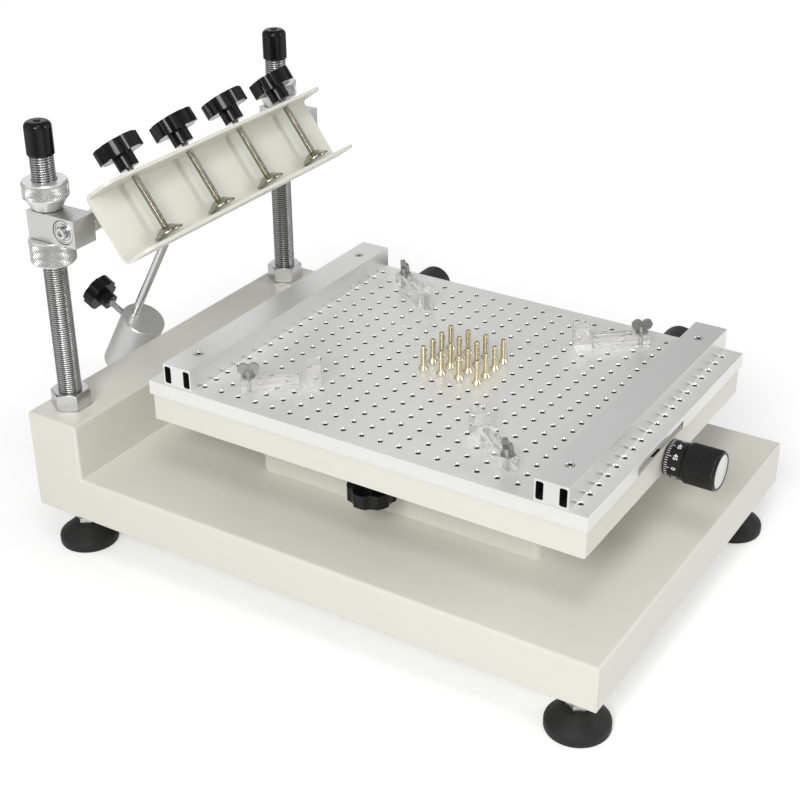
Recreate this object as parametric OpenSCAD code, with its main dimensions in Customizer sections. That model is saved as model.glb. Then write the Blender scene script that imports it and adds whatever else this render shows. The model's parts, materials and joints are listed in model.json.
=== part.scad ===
// Manual stencil printer, all sizes in millimetres.
// The origin is the centre of the perforated plate's top face; +Z is up.
// The operator stands at -Y, so -X is the left side and +Y is the rear beam.
// The swinging frame clamp is drawn open, at frame_tilt above level.

/* [Table] */
// Width of the perforated plate, left to right
plate_w = 300; // [240:1:400]
// Length of the perforated plate, front to back
plate_l = 400; // [320:1:520]
// Thickness of the perforated plate
plate_t = 3; // [2:0.5:5]
// Height of the plate's top face above the floor
table_h = 180; // [165:1:240]
// Depth of the plate's folded edge, from the top face
flange_h = 12.6; // [8:0.2:20]
// Sheet thickness of the folded edge
flange_t = 1.5; // [1:0.25:3]
// Hole pitch, left to right
pitch_x = 15; // [10:0.5:25]
// Hole pitch, front to back
pitch_y = 17; // [10:0.5:25]
// Diameter of the tooling holes
hole_d = 4; // [3:0.1:6]
// Least distance from a row of holes to the plate's edge
hole_margin = 12; // [8:0.5:16]
// Depth of the painted skirt below the plate's top face
skirt_h = 36.4; // [30:0.2:50]
// Sheet thickness of the painted skirt
skirt_t = 2; // [1:0.25:3]
// Width of the notch in the front edge
notch_w = 86; // [40:1:120]
// Height of the notch in the front edge
notch_h = 8.5; // [4:0.5:11]
// Centre of the notch, right of the table's centre
notch_x = -21; // [-60:1:60]

/* [Rails] */
// Width of a board rail
rail_w = 28; // [18:0.5:40]
// Height of a board rail above the plate
rail_h = 19; // [10:0.5:30]
// Rail's end in from the plate's side edge
rail_inset = 1; // [0:0.5:20]
// Rows of holes left outside a rail's row
rail_in = 1; // [1:1:4]
// Holes left outside a rail's screw
rail_screw_in = 1; // [0:1:4]
// Width of the hollow in a rail's side
rail_slot_w = 6.2; // [3:0.2:10]
// Height of the hollow in a rail's side
rail_slot_h = 15; // [6:0.5:24]
// Wall outside the hollow
rail_wall = 1.4; // [1:0.1:3]

/* [Locators] */
// Length of a clear locator, tip to tip
locator_l = 65; // [40:1:90]
// Width of a clear locator
locator_w = 13; // [8:0.5:20]
// Height of the slotted bar
locator_bar_h = 11; // [6:0.5:18]
// Height of the stop block at the inner tip
locator_stop_h = 22; // [12:0.5:30]
// Length of the stop block
locator_stop_l = 11.5; // [6:0.5:20]
// Angle of a locator from the left-right line
locator_angle = 52; // [30:1:60]
// Holes left outside a locator's screw, left to right
locator_in_x = 1; // [0:1:5]
// Rows left outside a locator's screw, front to back
locator_in_y = 4; // [3:1:7]

/* [Support pins] */
// Pins along each side of the square group
pin_count = 4; // [1:1:6]
// Height of a pin above the plate
pin_h = 21; // [10:0.5:40]
// Diameter of a pin's column
pin_d = 4.8; // [3:0.1:8]
// Diameter of a pin's collar
pin_collar_d = 8.4; // [5:0.2:12]

/* [Base] */
// Width of the base, left to right
base_w = 373; // [330:1:480]
// Length of the base, front to back
base_l = 541; // [480:1:700]
// Table centre to the base's front face
base_front = 232; // [210:1:320]
// Height of the base's flat tray
tray_h = 41; // [30:1:60]
// Full height of the rear beam
beam_h = 93; // [70:1:130]
// Depth of the rear beam, front to back
beam_d = 54; // [45:1:90]
// Sheet thickness of the base
base_t = 2; // [1.5:0.25:4]
// Radius of the base's folded edges
base_r = 3; // [1:0.5:6]
// Height of the levelling feet
foot_h = 43; // [30:1:60]
// Diameter of a foot's rubber rim
foot_d = 52; // [30:1:70]
// Foot centre from the base's side face
foot_side = 29; // [27:1:60]
// Foot centre from the base's end face
foot_end = 27; // [27:1:60]
// Width of the pedestal under the table
pedestal_w = 182; // [120:1:190]
// Length of the pedestal under the table
pedestal_l = 266; // [180:1:320]

/* [Posts] */
// Major diameter of the threaded posts
post_d = 20; // [14:1:24]
// Post centre from the base's side face
post_side = 30; // [24:0.5:50]
// Post centre from the base's rear face
post_rear = 24; // [20:1:40]
// Top of the post's rubber cap above the plate
post_top = 210; // [190:1:280]
// Height of the rubber cap
cap_h = 28; // [15:1:50]
// Diameter of the rubber cap
cap_d = 22.5; // [22.5:0.5:34]
// Diameter of the knurled height nuts
knurl_d = 38; // [32:1:50]
// Height of the upper nut's straight part
upper_nut_h = 14; // [8:0.5:24]
// Height of the upper nut's cone
upper_cone_h = 10; // [4:0.5:16]
// Height of the lower nut
lower_nut_h = 22; // [10:0.5:30]

/* [Hinge] */
// Height of the hinge axis above the plate
hinge_z = 124; // [110:0.5:160]
// Hinge axis in front of the post centres
hinge_lead = 25.6; // [22:0.2:36]
// Width of a hinge block, left to right
block_w = 24; // [23:0.5:40]
// Height of a hinge block
block_h = 24; // [18:0.5:36]
// Hinge axis to the block's front face
block_nose = 12.5; // [11.5:0.5:20]
// Post centre to the block's rear face
block_tail = 12.5; // [11.5:0.5:24]
// Diameter of the hinge shaft
shaft_d = 10; // [6:0.5:14]

/* [Frame clamp] */
// Angle of the open frame clamp above level
frame_tilt = 36.3; // [0:0.1:37]
// Channel's end in from the post centre
channel_in = 8.5; // [6:0.5:40]
// Outside height of the channel
channel_h = 63.6; // [50:0.2:90]
// Outside depth of the channel
channel_d = 31; // [26:0.5:60]
// Sheet thickness of the channel
channel_t = 3; // [2:0.25:5]
// Outside radius of the channel's bends
bend_r = 6; // [4:0.5:12]
// Radius of the flange corners
flange_r = 9; // [2:0.5:14]
// Hinge axis to the channel's rear face
web_lead = 20.4; // [17:0.2:40]
// Channel's top face above the hinge axis
channel_rise = 15.3; // [9:0.1:30]
// Distance between clamp screws
clamp_pitch = 69.5; // [50:0.5:80]
// Diameter of the clamp screws
clamp_d = 6; // [4:0.5:10]
// Diameter of a clamp screw's pad
pad_d = 26; // [14:0.5:27]
// Diameter of a large star knob
knob_d = 40; // [30:1:50]
// Thickness of a large star knob's head
knob_h = 13; // [8:0.5:20]
// Diameter of a large star knob's hub
hub_d = 18; // [14:0.5:26]
// Height of a large star knob's hub
hub_h = 11.5; // [6:0.5:20]
// Ear centre in from the post centre
ear_in = 37.5; // [34:0.5:90]
// Width of an ear
ear_w = 16; // [10:0.5:24]
// Height of an ear
ear_h = 17; // [13:0.5:24]

/* [Counterweight] */
// Angle of the weight rod below level, with the clamp closed
rod_drop = 24.8; // [10:0.1:40]
// Diameter of the weight rod
rod_d = 8; // [6:0.5:12]
// Hinge axis to the weight's upper face, along the rod
weight_from = 181; // [150:1:200]
// Length of the weight
weight_l = 62; // [40:1:80]
// Diameter of the weight
weight_d = 42; // [30:1:50]
// Weight centre from the rod's centre
weight_offset = 10.5; // [0:0.5:12]
// Rod left below the weight
rod_spare = 8; // [4:1:20]
// Diameter of the small star knob
small_knob_d = 33; // [24:1:40]

/* [Adjustment] */
// Diameter of an adjusting knob
dial_d = 33; // [24:1:40]
// Length of an adjusting knob
dial_l = 43; // [30:1:60]
// Side knob in from the plate's end
dial_in = 72; // [60:1:100]
// Diameter of an adjusting spindle
spindle_d = 8; // [5:0.5:10]
// Lock knob in from the bed's side edge
lock_in = 8; // [4:1:12]
// Bottom of the lock knob below the plate
lock_z = 64; // [60:1:75]

/* [Fits] */
// Radial clearance of a turning or sliding fit
run_fit = 0.05; // [0.02:0.01:0.1]
// Gap between faces that pass each other
face_gap = 0.5; // [0.3:0.1:1]

/* [Hidden] */
$fn = 96;
overcut = 1;
lobe_count = 6;
valley_at = 0.66;
valley_size = 0.44;
knob_edge = 1.5;
hex_ratio = 2 / sqrt(3);
hex_face = 0.96;
hex_slope = 30;

// Levels, counted from the plate's top face
floor_z = -table_h;
base_z = floor_z + foot_h;
tray_z = base_z + tray_h;
beam_z = base_z + beam_h;

// Places along the machine
base_rear = base_l - base_front;
base_mid = (base_rear - base_front) / 2;
beam_mid = base_rear - beam_d / 2;
post_y = base_rear - post_rear;
post_x = base_w / 2 - post_side;
hinge_y = post_y - hinge_lead;
block_l = block_nose + hinge_lead + block_tail;
block_mid = post_y + block_tail - block_l / 2;

// Table box
skirt_w = plate_w - 2 * flange_t;
skirt_l = plate_l - 2 * flange_t;
room_w = skirt_w - 2 * skirt_t;
holes_x = floor((plate_w / 2 - hole_margin) / pitch_x);
holes_y = floor((plate_l / 2 - hole_margin) / pitch_y);
rail_l = plate_w - 2 * rail_inset;
rail_y = (holes_y - rail_in) * pitch_y;
rail_end = (holes_x - rail_screw_in) * pitch_x;
rail_screw_d = 4;
rail_head_d = 8.4;
rail_head_h = 2.4;
rail_slot_r = 1.6;

// Slides inside the skirt, from the bed upward
bed_t = 3;
bed_in_x = 20;
bed_in_y = 48;
bed_w = plate_w - 2 * bed_in_x;
bed_l = plate_l - 2 * bed_in_y;
bed_z = -skirt_h - 2 * face_gap;
guide_w = 8;
guide_h = 3;
guide_x = 60;
guide_y = 55;
groove_gap = 0.4;
slide_t = 7;
slide_y_w = 190;
slide_y_l = 200;
slide_x_w = 176;
slide_x_l = 190;
slide_y_z = bed_z + face_gap;
slide_x_z = slide_y_z + slide_t + face_gap;
cross_z = slide_x_z + slide_t + face_gap;
cross_t = 4;
cross_l = 120;
pivot_d = 30;
pivot_h = face_gap + cross_t;

// Forks on the bed that the spindles pass through
fork_t = 6;
fork_w = 48;
fork_slot = 38;
fork_z = -18;

// Adjusting knobs
dial_y = plate_l / 2 - dial_in;
dial_z = -26.5;
dial_collar_l = 15;
dial_step = 1.2;
dial_collar_d = dial_d - 2 * dial_step;
dial_gap = 0.8;
side_gap = flange_t + dial_gap;
dial_rim = 2.5;
dial_cap_d = dial_d - 2 * dial_rim;
dial_cap_h = 1;
bush_d = 14;
bush_l = 6;
spindle_l = 76;
side_spindle_l = 46;

// Locators and their wing screws
wing_d = hole_d - 2 * run_fit;
wing_depth = 8;
slot_play = 0.4;
wing_slot = hole_d + 2 * slot_play;
locator_x = (holes_x - locator_in_x) * pitch_x;
locator_y = (holes_y - locator_in_y) * pitch_y;
wing_end = 6.5;
locator_gap = 0.3;
washer_z = locator_bar_h + 2 * locator_gap;
wing_slot_l = locator_l - locator_stop_l - 2 * wing_end;
washer_d = 11;
washer_h = 1.2;
wing_hub_d = 8;
wing_hub_h = 6.5;
wing_ear_d = 9.5;
wing_ear_t = 2.6;
wing_ear_x = 4.2;
wing_ear_z = 7.5;

// Support pins
pin_foot_d = hole_d - 2 * run_fit;
pin_foot_h = 7;
pin_collar_h = 3.2;
pin_bore_d = 2.6;
pin_bore_h = 3;
pin_first_x = -pitch_x;
pin_first_y = -2 * pitch_y;

// Feet
foot_rim_h = 8;
foot_pad_h = 20;
foot_neck_d = 24;
stud_d = 10;
stud_grip = 14;
jam_d = 17;
jam_h = 6;

// Posts and their nuts
post_foot = 34;
post_hex = 30;
post_hex_h = 16;
cap_wall = 3;
cap_dome_r = 5;
cap_nub_d = 6;
cap_nub_h = 1;
nut_bore = post_d + 2 * run_fit;
cone_end_d = 25;
nut_edge = 2;
plug_d = 17;
plug_h = 2.6;

// Shaft ends
shaft_end = 5;
disc_d = 20;
disc_h = 2.2;
disc_seat = disc_h + face_gap;
bolt_head_d = 10.5;
bolt_head_h = 3.4;
bolt_socket_d = 5.8;
bolt_socket_h = 2;

// Frame clamp, in its own frame with the hinge axis at the origin
channel_l = 2 * (post_x - channel_in);
ear_x = post_x - ear_in;
web_y = -web_lead;
lip_y = web_y - channel_d;
top_z = channel_rise;
low_z = channel_rise - channel_h;
clamp_y = (web_y - channel_t + lip_y) / 2;
clamp_gap = 3.5;
pad_rim_h = 1.6;
pad_cone_h = 5;
pad_neck_d = 11;
pad_seat = 3;
pad_z = low_z + channel_t + clamp_gap;
hub_lift = 4;
hub_z = top_z + hub_lift;
screw_top = 4;
screw_in_knob = hub_h + screw_top;
knob_turn = 31;
ear_tail = 14;
ear_screw_d = 5;
ear_head_d = 8.5;
ear_head_h = 5;
ear_stem = 5;
collar_d = 19;
collar_l = 22;
socket_d = 14;
socket_l = 24;
tee_screw_d = 4;
tee_head_d = 7;
tee_head_h = 4;
tee_head_gap = 1;
tee_head_z = collar_d / 2 + tee_head_gap;
tee_screw_in = 5;
tee_screw_x = collar_l / 2 - tee_screw_in;

// Counterweight
rod_l = weight_from + weight_l + rod_spare;
weight_screw_from = 13;
weight_screw_d = 6;
small_knob_h = 12;
small_hub_d = 16;
small_hub_h = 10;
small_knob_at = 28;
weight_edge = 1;

// Lock
lock_screw_d = 8;
lock_knob_h = 12.5;
lock_hub_z = bed_z - bed_t - 3 * face_gap;
lock_hub_h = lock_hub_z + lock_z - lock_knob_h;
lock_x = bed_w / 2 - lock_in;
lock_proud = 3;
lock_top = cross_z + cross_t + lock_proud;
lock_slot = 38;
lock_reach = 13;

// Building blocks

module rounded_rect(w, h, r) {
  square([w - 2 * r, h], center = true);
  square([w, h - 2 * r], center = true);
  for (x = [-1, 1], y = [-1, 1])
    translate([x * (w / 2 - r), y * (h / 2 - r)])
      circle(r);
}

// Box with all twelve edges rounded, standing on z = 0
module soft_box(w, l, h, r) {
  translate([0, 0, h / 2])
    intersection() {
      linear_extrude(h, center = true)
        rounded_rect(w, l, r);
      rotate([90, 0, 0])
        linear_extrude(l, center = true)
          rounded_rect(w, h, r);
      rotate([90, 0, 90])
        linear_extrude(w, center = true)
          rounded_rect(l, h, r);
    }
}

module tube(outer, bore, h) {
  difference() {
    cylinder(d = outer, h = h);
    translate([0, 0, -overcut])
      cylinder(d = bore, h = h + 2 * overcut);
  }
}

module both_sides(x) {
  for (s = [-1, 1])
    translate([s * x, 0, 0])
      children();
}

// Outline of a star knob: a disc with a round valley between its lobes
module star_outline(d) {
  difference() {
    circle(d = d);
    for (i = [0 : lobe_count - 1])
      rotate((i + 0.5) * 360 / lobe_count)
        translate([valley_at * d, 0])
          circle(d = valley_size * d);
  }
}

// Hex nut with both faces chamfered, standing on z = 0
module hex_nut(across, h) {
  face_r = hex_face * across / 2;
  reach = across / 4;
  rise = reach * tan(hex_slope);
  intersection() {
    cylinder(d = across * hex_ratio, h = h, $fn = 6);
    rotate_extrude()
      polygon([[0, 0], [face_r, 0], [face_r + reach, rise], [face_r + reach, h - rise], [face_r, h], [0, h]]);
  }
}

// Rounded top edge of a turned head
module crowned(d, h, r) {
  rotate_extrude() {
    square([d / 2, h - r]);
    square([d / 2 - r, h]);
    translate([d / 2 - r, h - r])
      circle(r);
  }
}

// Star knob on its hub: the hub stands on z = 0 and the head is above it
module star_knob(d, h, hub, hub_len, bore, bore_len) {
  difference() {
    union() {
      cylinder(d = hub, h = hub_len + overcut);
      translate([0, 0, hub_len])
        intersection() {
          linear_extrude(h)
            star_outline(d);
          crowned(d + 2 * overcut, h, knob_edge + overcut);
        }
    }
    translate([0, 0, -overcut])
      cylinder(d = bore, h = bore_len + overcut);
  }
}

// Places the swinging parts: their own origin is the hinge axis, clamp level
module swing() {
  translate([0, hinge_y, hinge_z])
    rotate([-frame_tilt, 0, 0])
      children();
}

// Frame of the weight rod: z runs down the rod, y points to the lock knob
module along_rod() {
  swing()
    rotate([-90 - rod_drop, 0, 0])
      rotate(180)
        children();
}

// Base

module base_body() {
  color("Ivory")
    difference() {
      union() {
        translate([0, base_mid, base_z])
          soft_box(base_w, base_l, tray_h, base_r);
        translate([0, beam_mid, base_z])
          soft_box(base_w, beam_d, beam_h, base_r);
      }
      translate([0, base_mid, base_z - overcut])
        linear_extrude(tray_h - base_t + overcut)
          rounded_rect(base_w - 2 * base_t, base_l - 2 * base_t, base_r);
      translate([0, beam_mid, base_z - overcut])
        linear_extrude(beam_h - base_t + overcut)
          rounded_rect(base_w - 2 * base_t, beam_d - 2 * base_t, base_r);
      translate([0, post_y, beam_z - base_t - overcut])
        both_sides(post_x)
          cylinder(d = post_d, h = base_t + 2 * overcut);
    }
}

module at_feet() {
  for (s = [-1, 1], e = [-1, 1])
    translate([s * (base_w / 2 - foot_side), base_mid + e * (base_l / 2 - foot_end), 0])
      children();
}

module bottom_plate() {
  color("Ivory")
    difference() {
      translate([0, base_mid, base_z])
        linear_extrude(base_t)
          rounded_rect(base_w - 2 * base_t, base_l - 2 * base_t, base_r);
      translate([0, 0, base_z - overcut])
        at_feet()
          cylinder(d = stud_d, h = base_t + 2 * overcut);
    }
}

module foot_pads() {
  color("DimGray")
    at_feet()
      translate([0, 0, floor_z])
        difference() {
          union() {
            cylinder(d = foot_d, h = foot_rim_h);
            translate([0, 0, foot_rim_h])
              cylinder(d1 = foot_d, d2 = foot_neck_d, h = foot_pad_h - foot_rim_h);
          }
          translate([0, 0, foot_pad_h - stud_grip])
            cylinder(d = stud_d, h = stud_grip + overcut);
        }
}

module foot_studs() {
  color("Silver")
    at_feet()
      translate([0, 0, floor_z + foot_pad_h]) {
        translate([0, 0, -stud_grip])
          cylinder(d = stud_d, h = foot_h - foot_pad_h + 2 * stud_grip);
        hex_nut(jam_d, jam_h);
      }
}

module pedestal() {
  color("Ivory")
    translate([0, 0, tray_z])
      linear_extrude(bed_z - bed_t - tray_z)
        difference() {
          rounded_rect(pedestal_w, pedestal_l, 3 * base_t);
          rounded_rect(pedestal_w - 2 * base_t, pedestal_l - 2 * base_t, 2 * base_t);
        }
}

module fork() {
  translate([0, 0, bed_z - bed_t])
    difference() {
      translate([-fork_w / 2, -fork_t / 2, 0])
        cube([fork_w, fork_t, fork_z - bed_z + bed_t]);
      translate([-fork_slot / 2, -fork_t, bed_t])
        cube([fork_slot, 2 * fork_t, fork_z - bed_z + overcut]);
    }
}

module bed_plate() {
  color("LightGray") {
    difference() {
      translate([-bed_w / 2, -bed_l / 2, bed_z - bed_t])
        cube([bed_w, bed_l, bed_t]);
      translate([-bed_w / 2 - overcut, -lock_slot / 2, bed_z - bed_t - overcut])
        cube([bed_w / 2 - lock_x + lock_reach + overcut, lock_slot, bed_t + 2 * overcut]);
    }
    both_sides(guide_x)
      translate([-guide_w / 2, -bed_l / 4, bed_z - bed_t])
        cube([guide_w, bed_l / 2, bed_t + guide_h]);
    translate([0, -bed_l / 2 + fork_t / 2, 0])
      fork();
    for (s = [-1, 1])
      translate([bed_w / 2 - fork_t / 2, s * dial_y, 0])
        rotate(90)
          fork();
  }
}

// Posts and height adjustment

module posts() {
  color("Silver")
    both_sides(post_x)
      translate([0, post_y, beam_z - post_foot])
        cylinder(d = post_d, h = post_top - cap_wall - beam_z + post_foot);
}

module post_caps() {
  color("DimGray")
    both_sides(post_x)
      translate([0, post_y, post_top - cap_h])
        difference() {
          union() {
            crowned(cap_d, cap_h - cap_nub_h, cap_dome_r);
            crowned(cap_nub_d, cap_h, cap_nub_h);
          }
          translate([0, 0, -overcut])
            cylinder(d = post_d, h = cap_h - cap_wall + overcut);
        }
}

module post_nuts() {
  color("Silver")
    both_sides(post_x)
      for (z = [beam_z, beam_z - base_t - post_hex_h])
        translate([0, post_y, z])
          difference() {
            hex_nut(post_hex, post_hex_h);
            translate([0, 0, -overcut])
              cylinder(d = post_d, h = post_hex_h + 2 * overcut);
          }
}

module hinge_blocks() {
  color("LightGray")
    for (s = [-1, 1])
      translate([s * post_x, 0, hinge_z])
        difference() {
          translate([-block_w / 2, block_mid - block_l / 2, -block_h / 2])
            cube([block_w, block_l, block_h]);
          translate([0, post_y, -block_h])
            cylinder(d = nut_bore, h = 2 * block_h);
          translate([0, hinge_y, 0])
            rotate([0, 90, 0])
              cylinder(d = shaft_d + 2 * run_fit, h = 2 * block_w, center = true);
          translate([s * (block_w / 2 - disc_seat), hinge_y, 0])
            rotate([0, s * 90, 0])
              cylinder(d = disc_d + 2 * face_gap, h = block_w);
        }
}

module block_plugs() {
  color("Silver")
    both_sides(post_x)
      translate([0, post_y + block_tail, hinge_z])
        rotate([-90, 0, 0])
          crowned(plug_d, plug_h, plug_h / 2);
}

module upper_nut(s) {
  color("Gainsboro")
    translate([s * post_x, post_y, hinge_z + block_h / 2 + face_gap])
      difference() {
        union() {
          cylinder(d1 = cone_end_d, d2 = knurl_d, h = upper_cone_h);
          translate([0, 0, upper_cone_h])
            cylinder(d = knurl_d, h = upper_nut_h - nut_edge / 2);
          translate([0, 0, upper_cone_h + upper_nut_h - nut_edge / 2])
            cylinder(d1 = knurl_d, d2 = knurl_d - nut_edge, h = nut_edge / 2);
        }
        translate([0, 0, -overcut])
          cylinder(d = nut_bore, h = upper_cone_h + upper_nut_h + 2 * overcut);
      }
}

module upper_nut_left() {
  upper_nut(-1);
}

module upper_nut_right() {
  upper_nut(1);
}

module lower_nut(s) {
  color("Gainsboro")
    translate([s * post_x, post_y, hinge_z - block_h / 2 - face_gap - lower_nut_h])
      difference() {
        union() {
          cylinder(d1 = knurl_d - 2 * nut_edge, d2 = knurl_d, h = nut_edge);
          translate([0, 0, nut_edge])
            cylinder(d = knurl_d, h = lower_nut_h - nut_edge);
        }
        translate([0, 0, -overcut])
          cylinder(d = nut_bore, h = lower_nut_h + 2 * overcut);
      }
}

module lower_nut_left() {
  lower_nut(-1);
}

module lower_nut_right() {
  lower_nut(1);
}

// Swinging frame clamp

module channel_profile() {
  difference() {
    translate([-channel_d, -channel_h])
      difference() {
        translate([channel_d / 2, channel_h / 2])
          rounded_rect(channel_d, channel_h, bend_r);
        translate([channel_d / 2 - channel_t, channel_h / 2])
          rounded_rect(channel_d, channel_h - 2 * channel_t, bend_r - channel_t);
      }
    translate([-channel_d - overcut, -channel_h - overcut])
      square([bend_r + overcut, channel_h + 2 * overcut]);
  }
  for (z = [-channel_t, -channel_h])
    translate([-channel_d, z])
      square([bend_r + overcut, channel_t]);
}

module clamp_places() {
  for (i = [0 : 3])
    translate([(i - 1.5) * clamp_pitch, clamp_y, 0])
      children();
}

module frame_channel() {
  color("Ivory")
    swing()
      difference() {
        intersection() {
          translate([-channel_l / 2, web_y, top_z])
            rotate([90, 0, 90])
              linear_extrude(channel_l)
                channel_profile();
          translate([0, web_y - channel_d / 2 + bend_r, low_z - overcut])
            linear_extrude(channel_h + 2 * overcut)
              rounded_rect(channel_l, channel_d + 2 * bend_r, flange_r);
        }
        translate([0, 0, top_z - channel_t - overcut])
          clamp_places()
            cylinder(d = clamp_d + 2 * run_fit, h = channel_t + 2 * overcut);
      }
}

module channel_ears() {
  color("Ivory")
    swing()
      both_sides(ear_x)
        difference() {
          translate([-ear_w / 2, web_y, -ear_h / 2])
            cube([ear_w, web_lead + ear_tail, ear_h]);
          rotate([0, 90, 0])
            cylinder(d = shaft_d, h = 2 * ear_w, center = true);
          rotate([-90, 0, 0])
            cylinder(d = ear_screw_d, h = 2 * ear_tail);
        }
}

module hinge_shaft() {
  color("Silver")
    swing()
      rotate([0, 90, 0])
        cylinder(d = shaft_d, h = 2 * (post_x + block_w / 2 - disc_seat + face_gap), center = true);
}

// Discs and socket screws on the shaft's ends
module shaft_bolts() {
  color("Silver")
    swing()
      for (s = [-1, 1])
        translate([s * (post_x + block_w / 2 - disc_seat + face_gap), 0, 0])
          rotate([0, s * 90, 0])
            difference() {
              union() {
                cylinder(d = disc_d, h = disc_h);
                cylinder(d = bolt_head_d, h = disc_h + bolt_head_h);
              }
              translate([0, 0, disc_h + bolt_head_h - bolt_socket_h])
                cylinder(d = bolt_socket_d, h = bolt_socket_h + overcut, $fn = 6);
            }
}

// Tee on the shaft that holds the weight rod
module rod_clamp() {
  color("Silver") {
    difference() {
      union() {
        swing()
          rotate([0, 90, 0])
            cylinder(d = collar_d, h = collar_l, center = true);
        along_rod()
          cylinder(d = socket_d, h = socket_l);
      }
      swing()
        rotate([0, 90, 0])
          cylinder(d = shaft_d, h = 2 * collar_l, center = true);
      along_rod()
        cylinder(d = rod_d, h = 2 * socket_l);
      tee_screws()
        cylinder(d = tee_screw_d, h = collar_d);
    }
  }
}

module tee_screws() {
  along_rod()
    both_sides(tee_screw_x)
      rotate([180, 0, 0])
        children();
}

// Screws that pinch the ears and the tee on the shaft
module clamp_bolts() {
  color("Silver") {
    swing()
      both_sides(ear_x)
        translate([0, shaft_d / 2, 0])
          rotate([-90, 0, 0]) {
            cylinder(d = ear_screw_d, h = ear_tail - shaft_d / 2 + ear_stem);
            translate([0, 0, ear_tail - shaft_d / 2 + ear_stem])
              cylinder(d = ear_head_d, h = ear_head_h);
          }
    tee_screws() {
      translate([0, 0, shaft_d / 2])
        cylinder(d = tee_screw_d, h = tee_head_z - shaft_d / 2);
      translate([0, 0, tee_head_z])
        cylinder(d = tee_head_d, h = tee_head_h);
    }
  }
}

module weight_rod() {
  color("Silver")
    along_rod()
      translate([0, 0, shaft_d / 2])
        cylinder(d = rod_d, h = rod_l - shaft_d / 2);
}

module counterweight() {
  color("Gray")
    along_rod()
      translate([0, 0, weight_from])
        difference() {
          translate([0, -weight_offset, 0])
            rotate_extrude()
              polygon([[0, 0], [weight_d / 2 - weight_edge, 0], [weight_d / 2, weight_edge],
                [weight_d / 2, weight_l - weight_edge], [weight_d / 2 - weight_edge, weight_l], [0, weight_l]]);
          translate([0, 0, -overcut])
            cylinder(d = rod_d + 2 * run_fit, h = weight_l + 2 * overcut);
          translate([0, 0, weight_screw_from])
            rotate([-90, 0, 0])
              cylinder(d = weight_screw_d + 2 * run_fit, h = weight_d);
        }
}

module at_weight_screw() {
  along_rod()
    translate([0, 0, weight_from + weight_screw_from])
      rotate([-90, 0, 0])
        children();
}

module weight_screw() {
  color("Silver")
    at_weight_screw()
      translate([0, 0, rod_d / 2 + face_gap])
        cylinder(d = weight_screw_d, h = small_knob_at + small_hub_h - rod_d / 2 - face_gap);
}

module weight_knob() {
  color("DimGray")
    at_weight_screw()
      translate([0, 0, small_knob_at])
        star_knob(small_knob_d, small_knob_h, small_hub_d, small_hub_h, weight_screw_d, small_hub_h);
}

// Clamp screws, numbered from the left

module at_clamp(i) {
  swing()
    translate([(i - 2.5) * clamp_pitch, clamp_y, 0])
      children();
}

module pad(i) {
  color("DarkKhaki")
    at_clamp(i)
      translate([0, 0, pad_z])
        difference() {
          union() {
            cylinder(d = pad_d, h = pad_rim_h);
            translate([0, 0, pad_rim_h])
              cylinder(d1 = pad_d, d2 = pad_neck_d, h = pad_cone_h);
          }
          translate([0, 0, pad_rim_h + pad_cone_h - pad_seat])
            cylinder(d = clamp_d + 2 * run_fit, h = pad_seat + overcut);
        }
}

module pad_1() {
  pad(1);
}

module pad_2() {
  pad(2);
}

module pad_3() {
  pad(3);
}

module pad_4() {
  pad(4);
}

module screw(i) {
  color("Silver")
    at_clamp(i)
      translate([0, 0, pad_z + pad_rim_h + pad_cone_h - pad_seat + face_gap])
        cylinder(d = clamp_d, h = hub_z + screw_in_knob - pad_z - pad_rim_h - pad_cone_h + pad_seat - face_gap);
}

module screw_1() {
  screw(1);
}

module screw_2() {
  screw(2);
}

module screw_3() {
  screw(3);
}

module screw_4() {
  screw(4);
}

module knob(i) {
  color("DimGray")
    at_clamp(i)
      translate([0, 0, hub_z])
        rotate(i * knob_turn)
          star_knob(knob_d, knob_h, hub_d, hub_h, clamp_d, screw_in_knob);
}

module knob_1() {
  knob(1);
}

module knob_2() {
  knob(2);
}

module knob_3() {
  knob(3);
}

module knob_4() {
  knob(4);
}

// Adjustable table

module slide_y() {
  color("LightGray")
    difference() {
      union() {
        translate([-slide_y_w / 2, -slide_y_l / 2, slide_y_z])
          cube([slide_y_w, slide_y_l, slide_t]);
        for (s = [-1, 1])
          translate([-slide_y_w / 2, s * guide_y - guide_w / 2, slide_y_z])
            cube([slide_y_w, guide_w, slide_t + guide_h]);
      }
      both_sides(guide_x)
        translate([-guide_w / 2 - groove_gap, -slide_y_l, slide_y_z - overcut])
          cube([guide_w + 2 * groove_gap, 2 * slide_y_l, guide_h + groove_gap + overcut]);
    }
}

module slide_x() {
  color("LightGray") {
    difference() {
      translate([-slide_x_w / 2, -slide_x_l / 2, slide_x_z])
        cube([slide_x_w, slide_x_l, slide_t]);
      for (s = [-1, 1])
        translate([-slide_x_w, s * guide_y - guide_w / 2 - groove_gap, slide_x_z - overcut])
          cube([2 * slide_x_w, guide_w + 2 * groove_gap, guide_h + groove_gap + overcut]);
    }
    translate([0, 0, slide_x_z + slide_t - overcut])
      cylinder(d = pivot_d, h = pivot_h + overcut);
  }
}

module cross_member() {
  color("LightGray")
    difference() {
      translate([-room_w / 2, -cross_l / 2, cross_z])
        cube([room_w, cross_l, cross_t]);
      translate([0, 0, cross_z - overcut])
        cylinder(d = pivot_d + 2 * run_fit, h = cross_t + 2 * overcut);
      translate([-lock_x, 0, cross_z - overcut])
        cylinder(d = lock_screw_d + 2 * run_fit, h = cross_t + 2 * overcut);
    }
}

module front_notch(depth) {
  translate([notch_x - notch_w / 2, -plate_l / 2 - overcut, -flange_h - overcut])
    cube([notch_w, depth + overcut, notch_h + overcut]);
}

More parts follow.
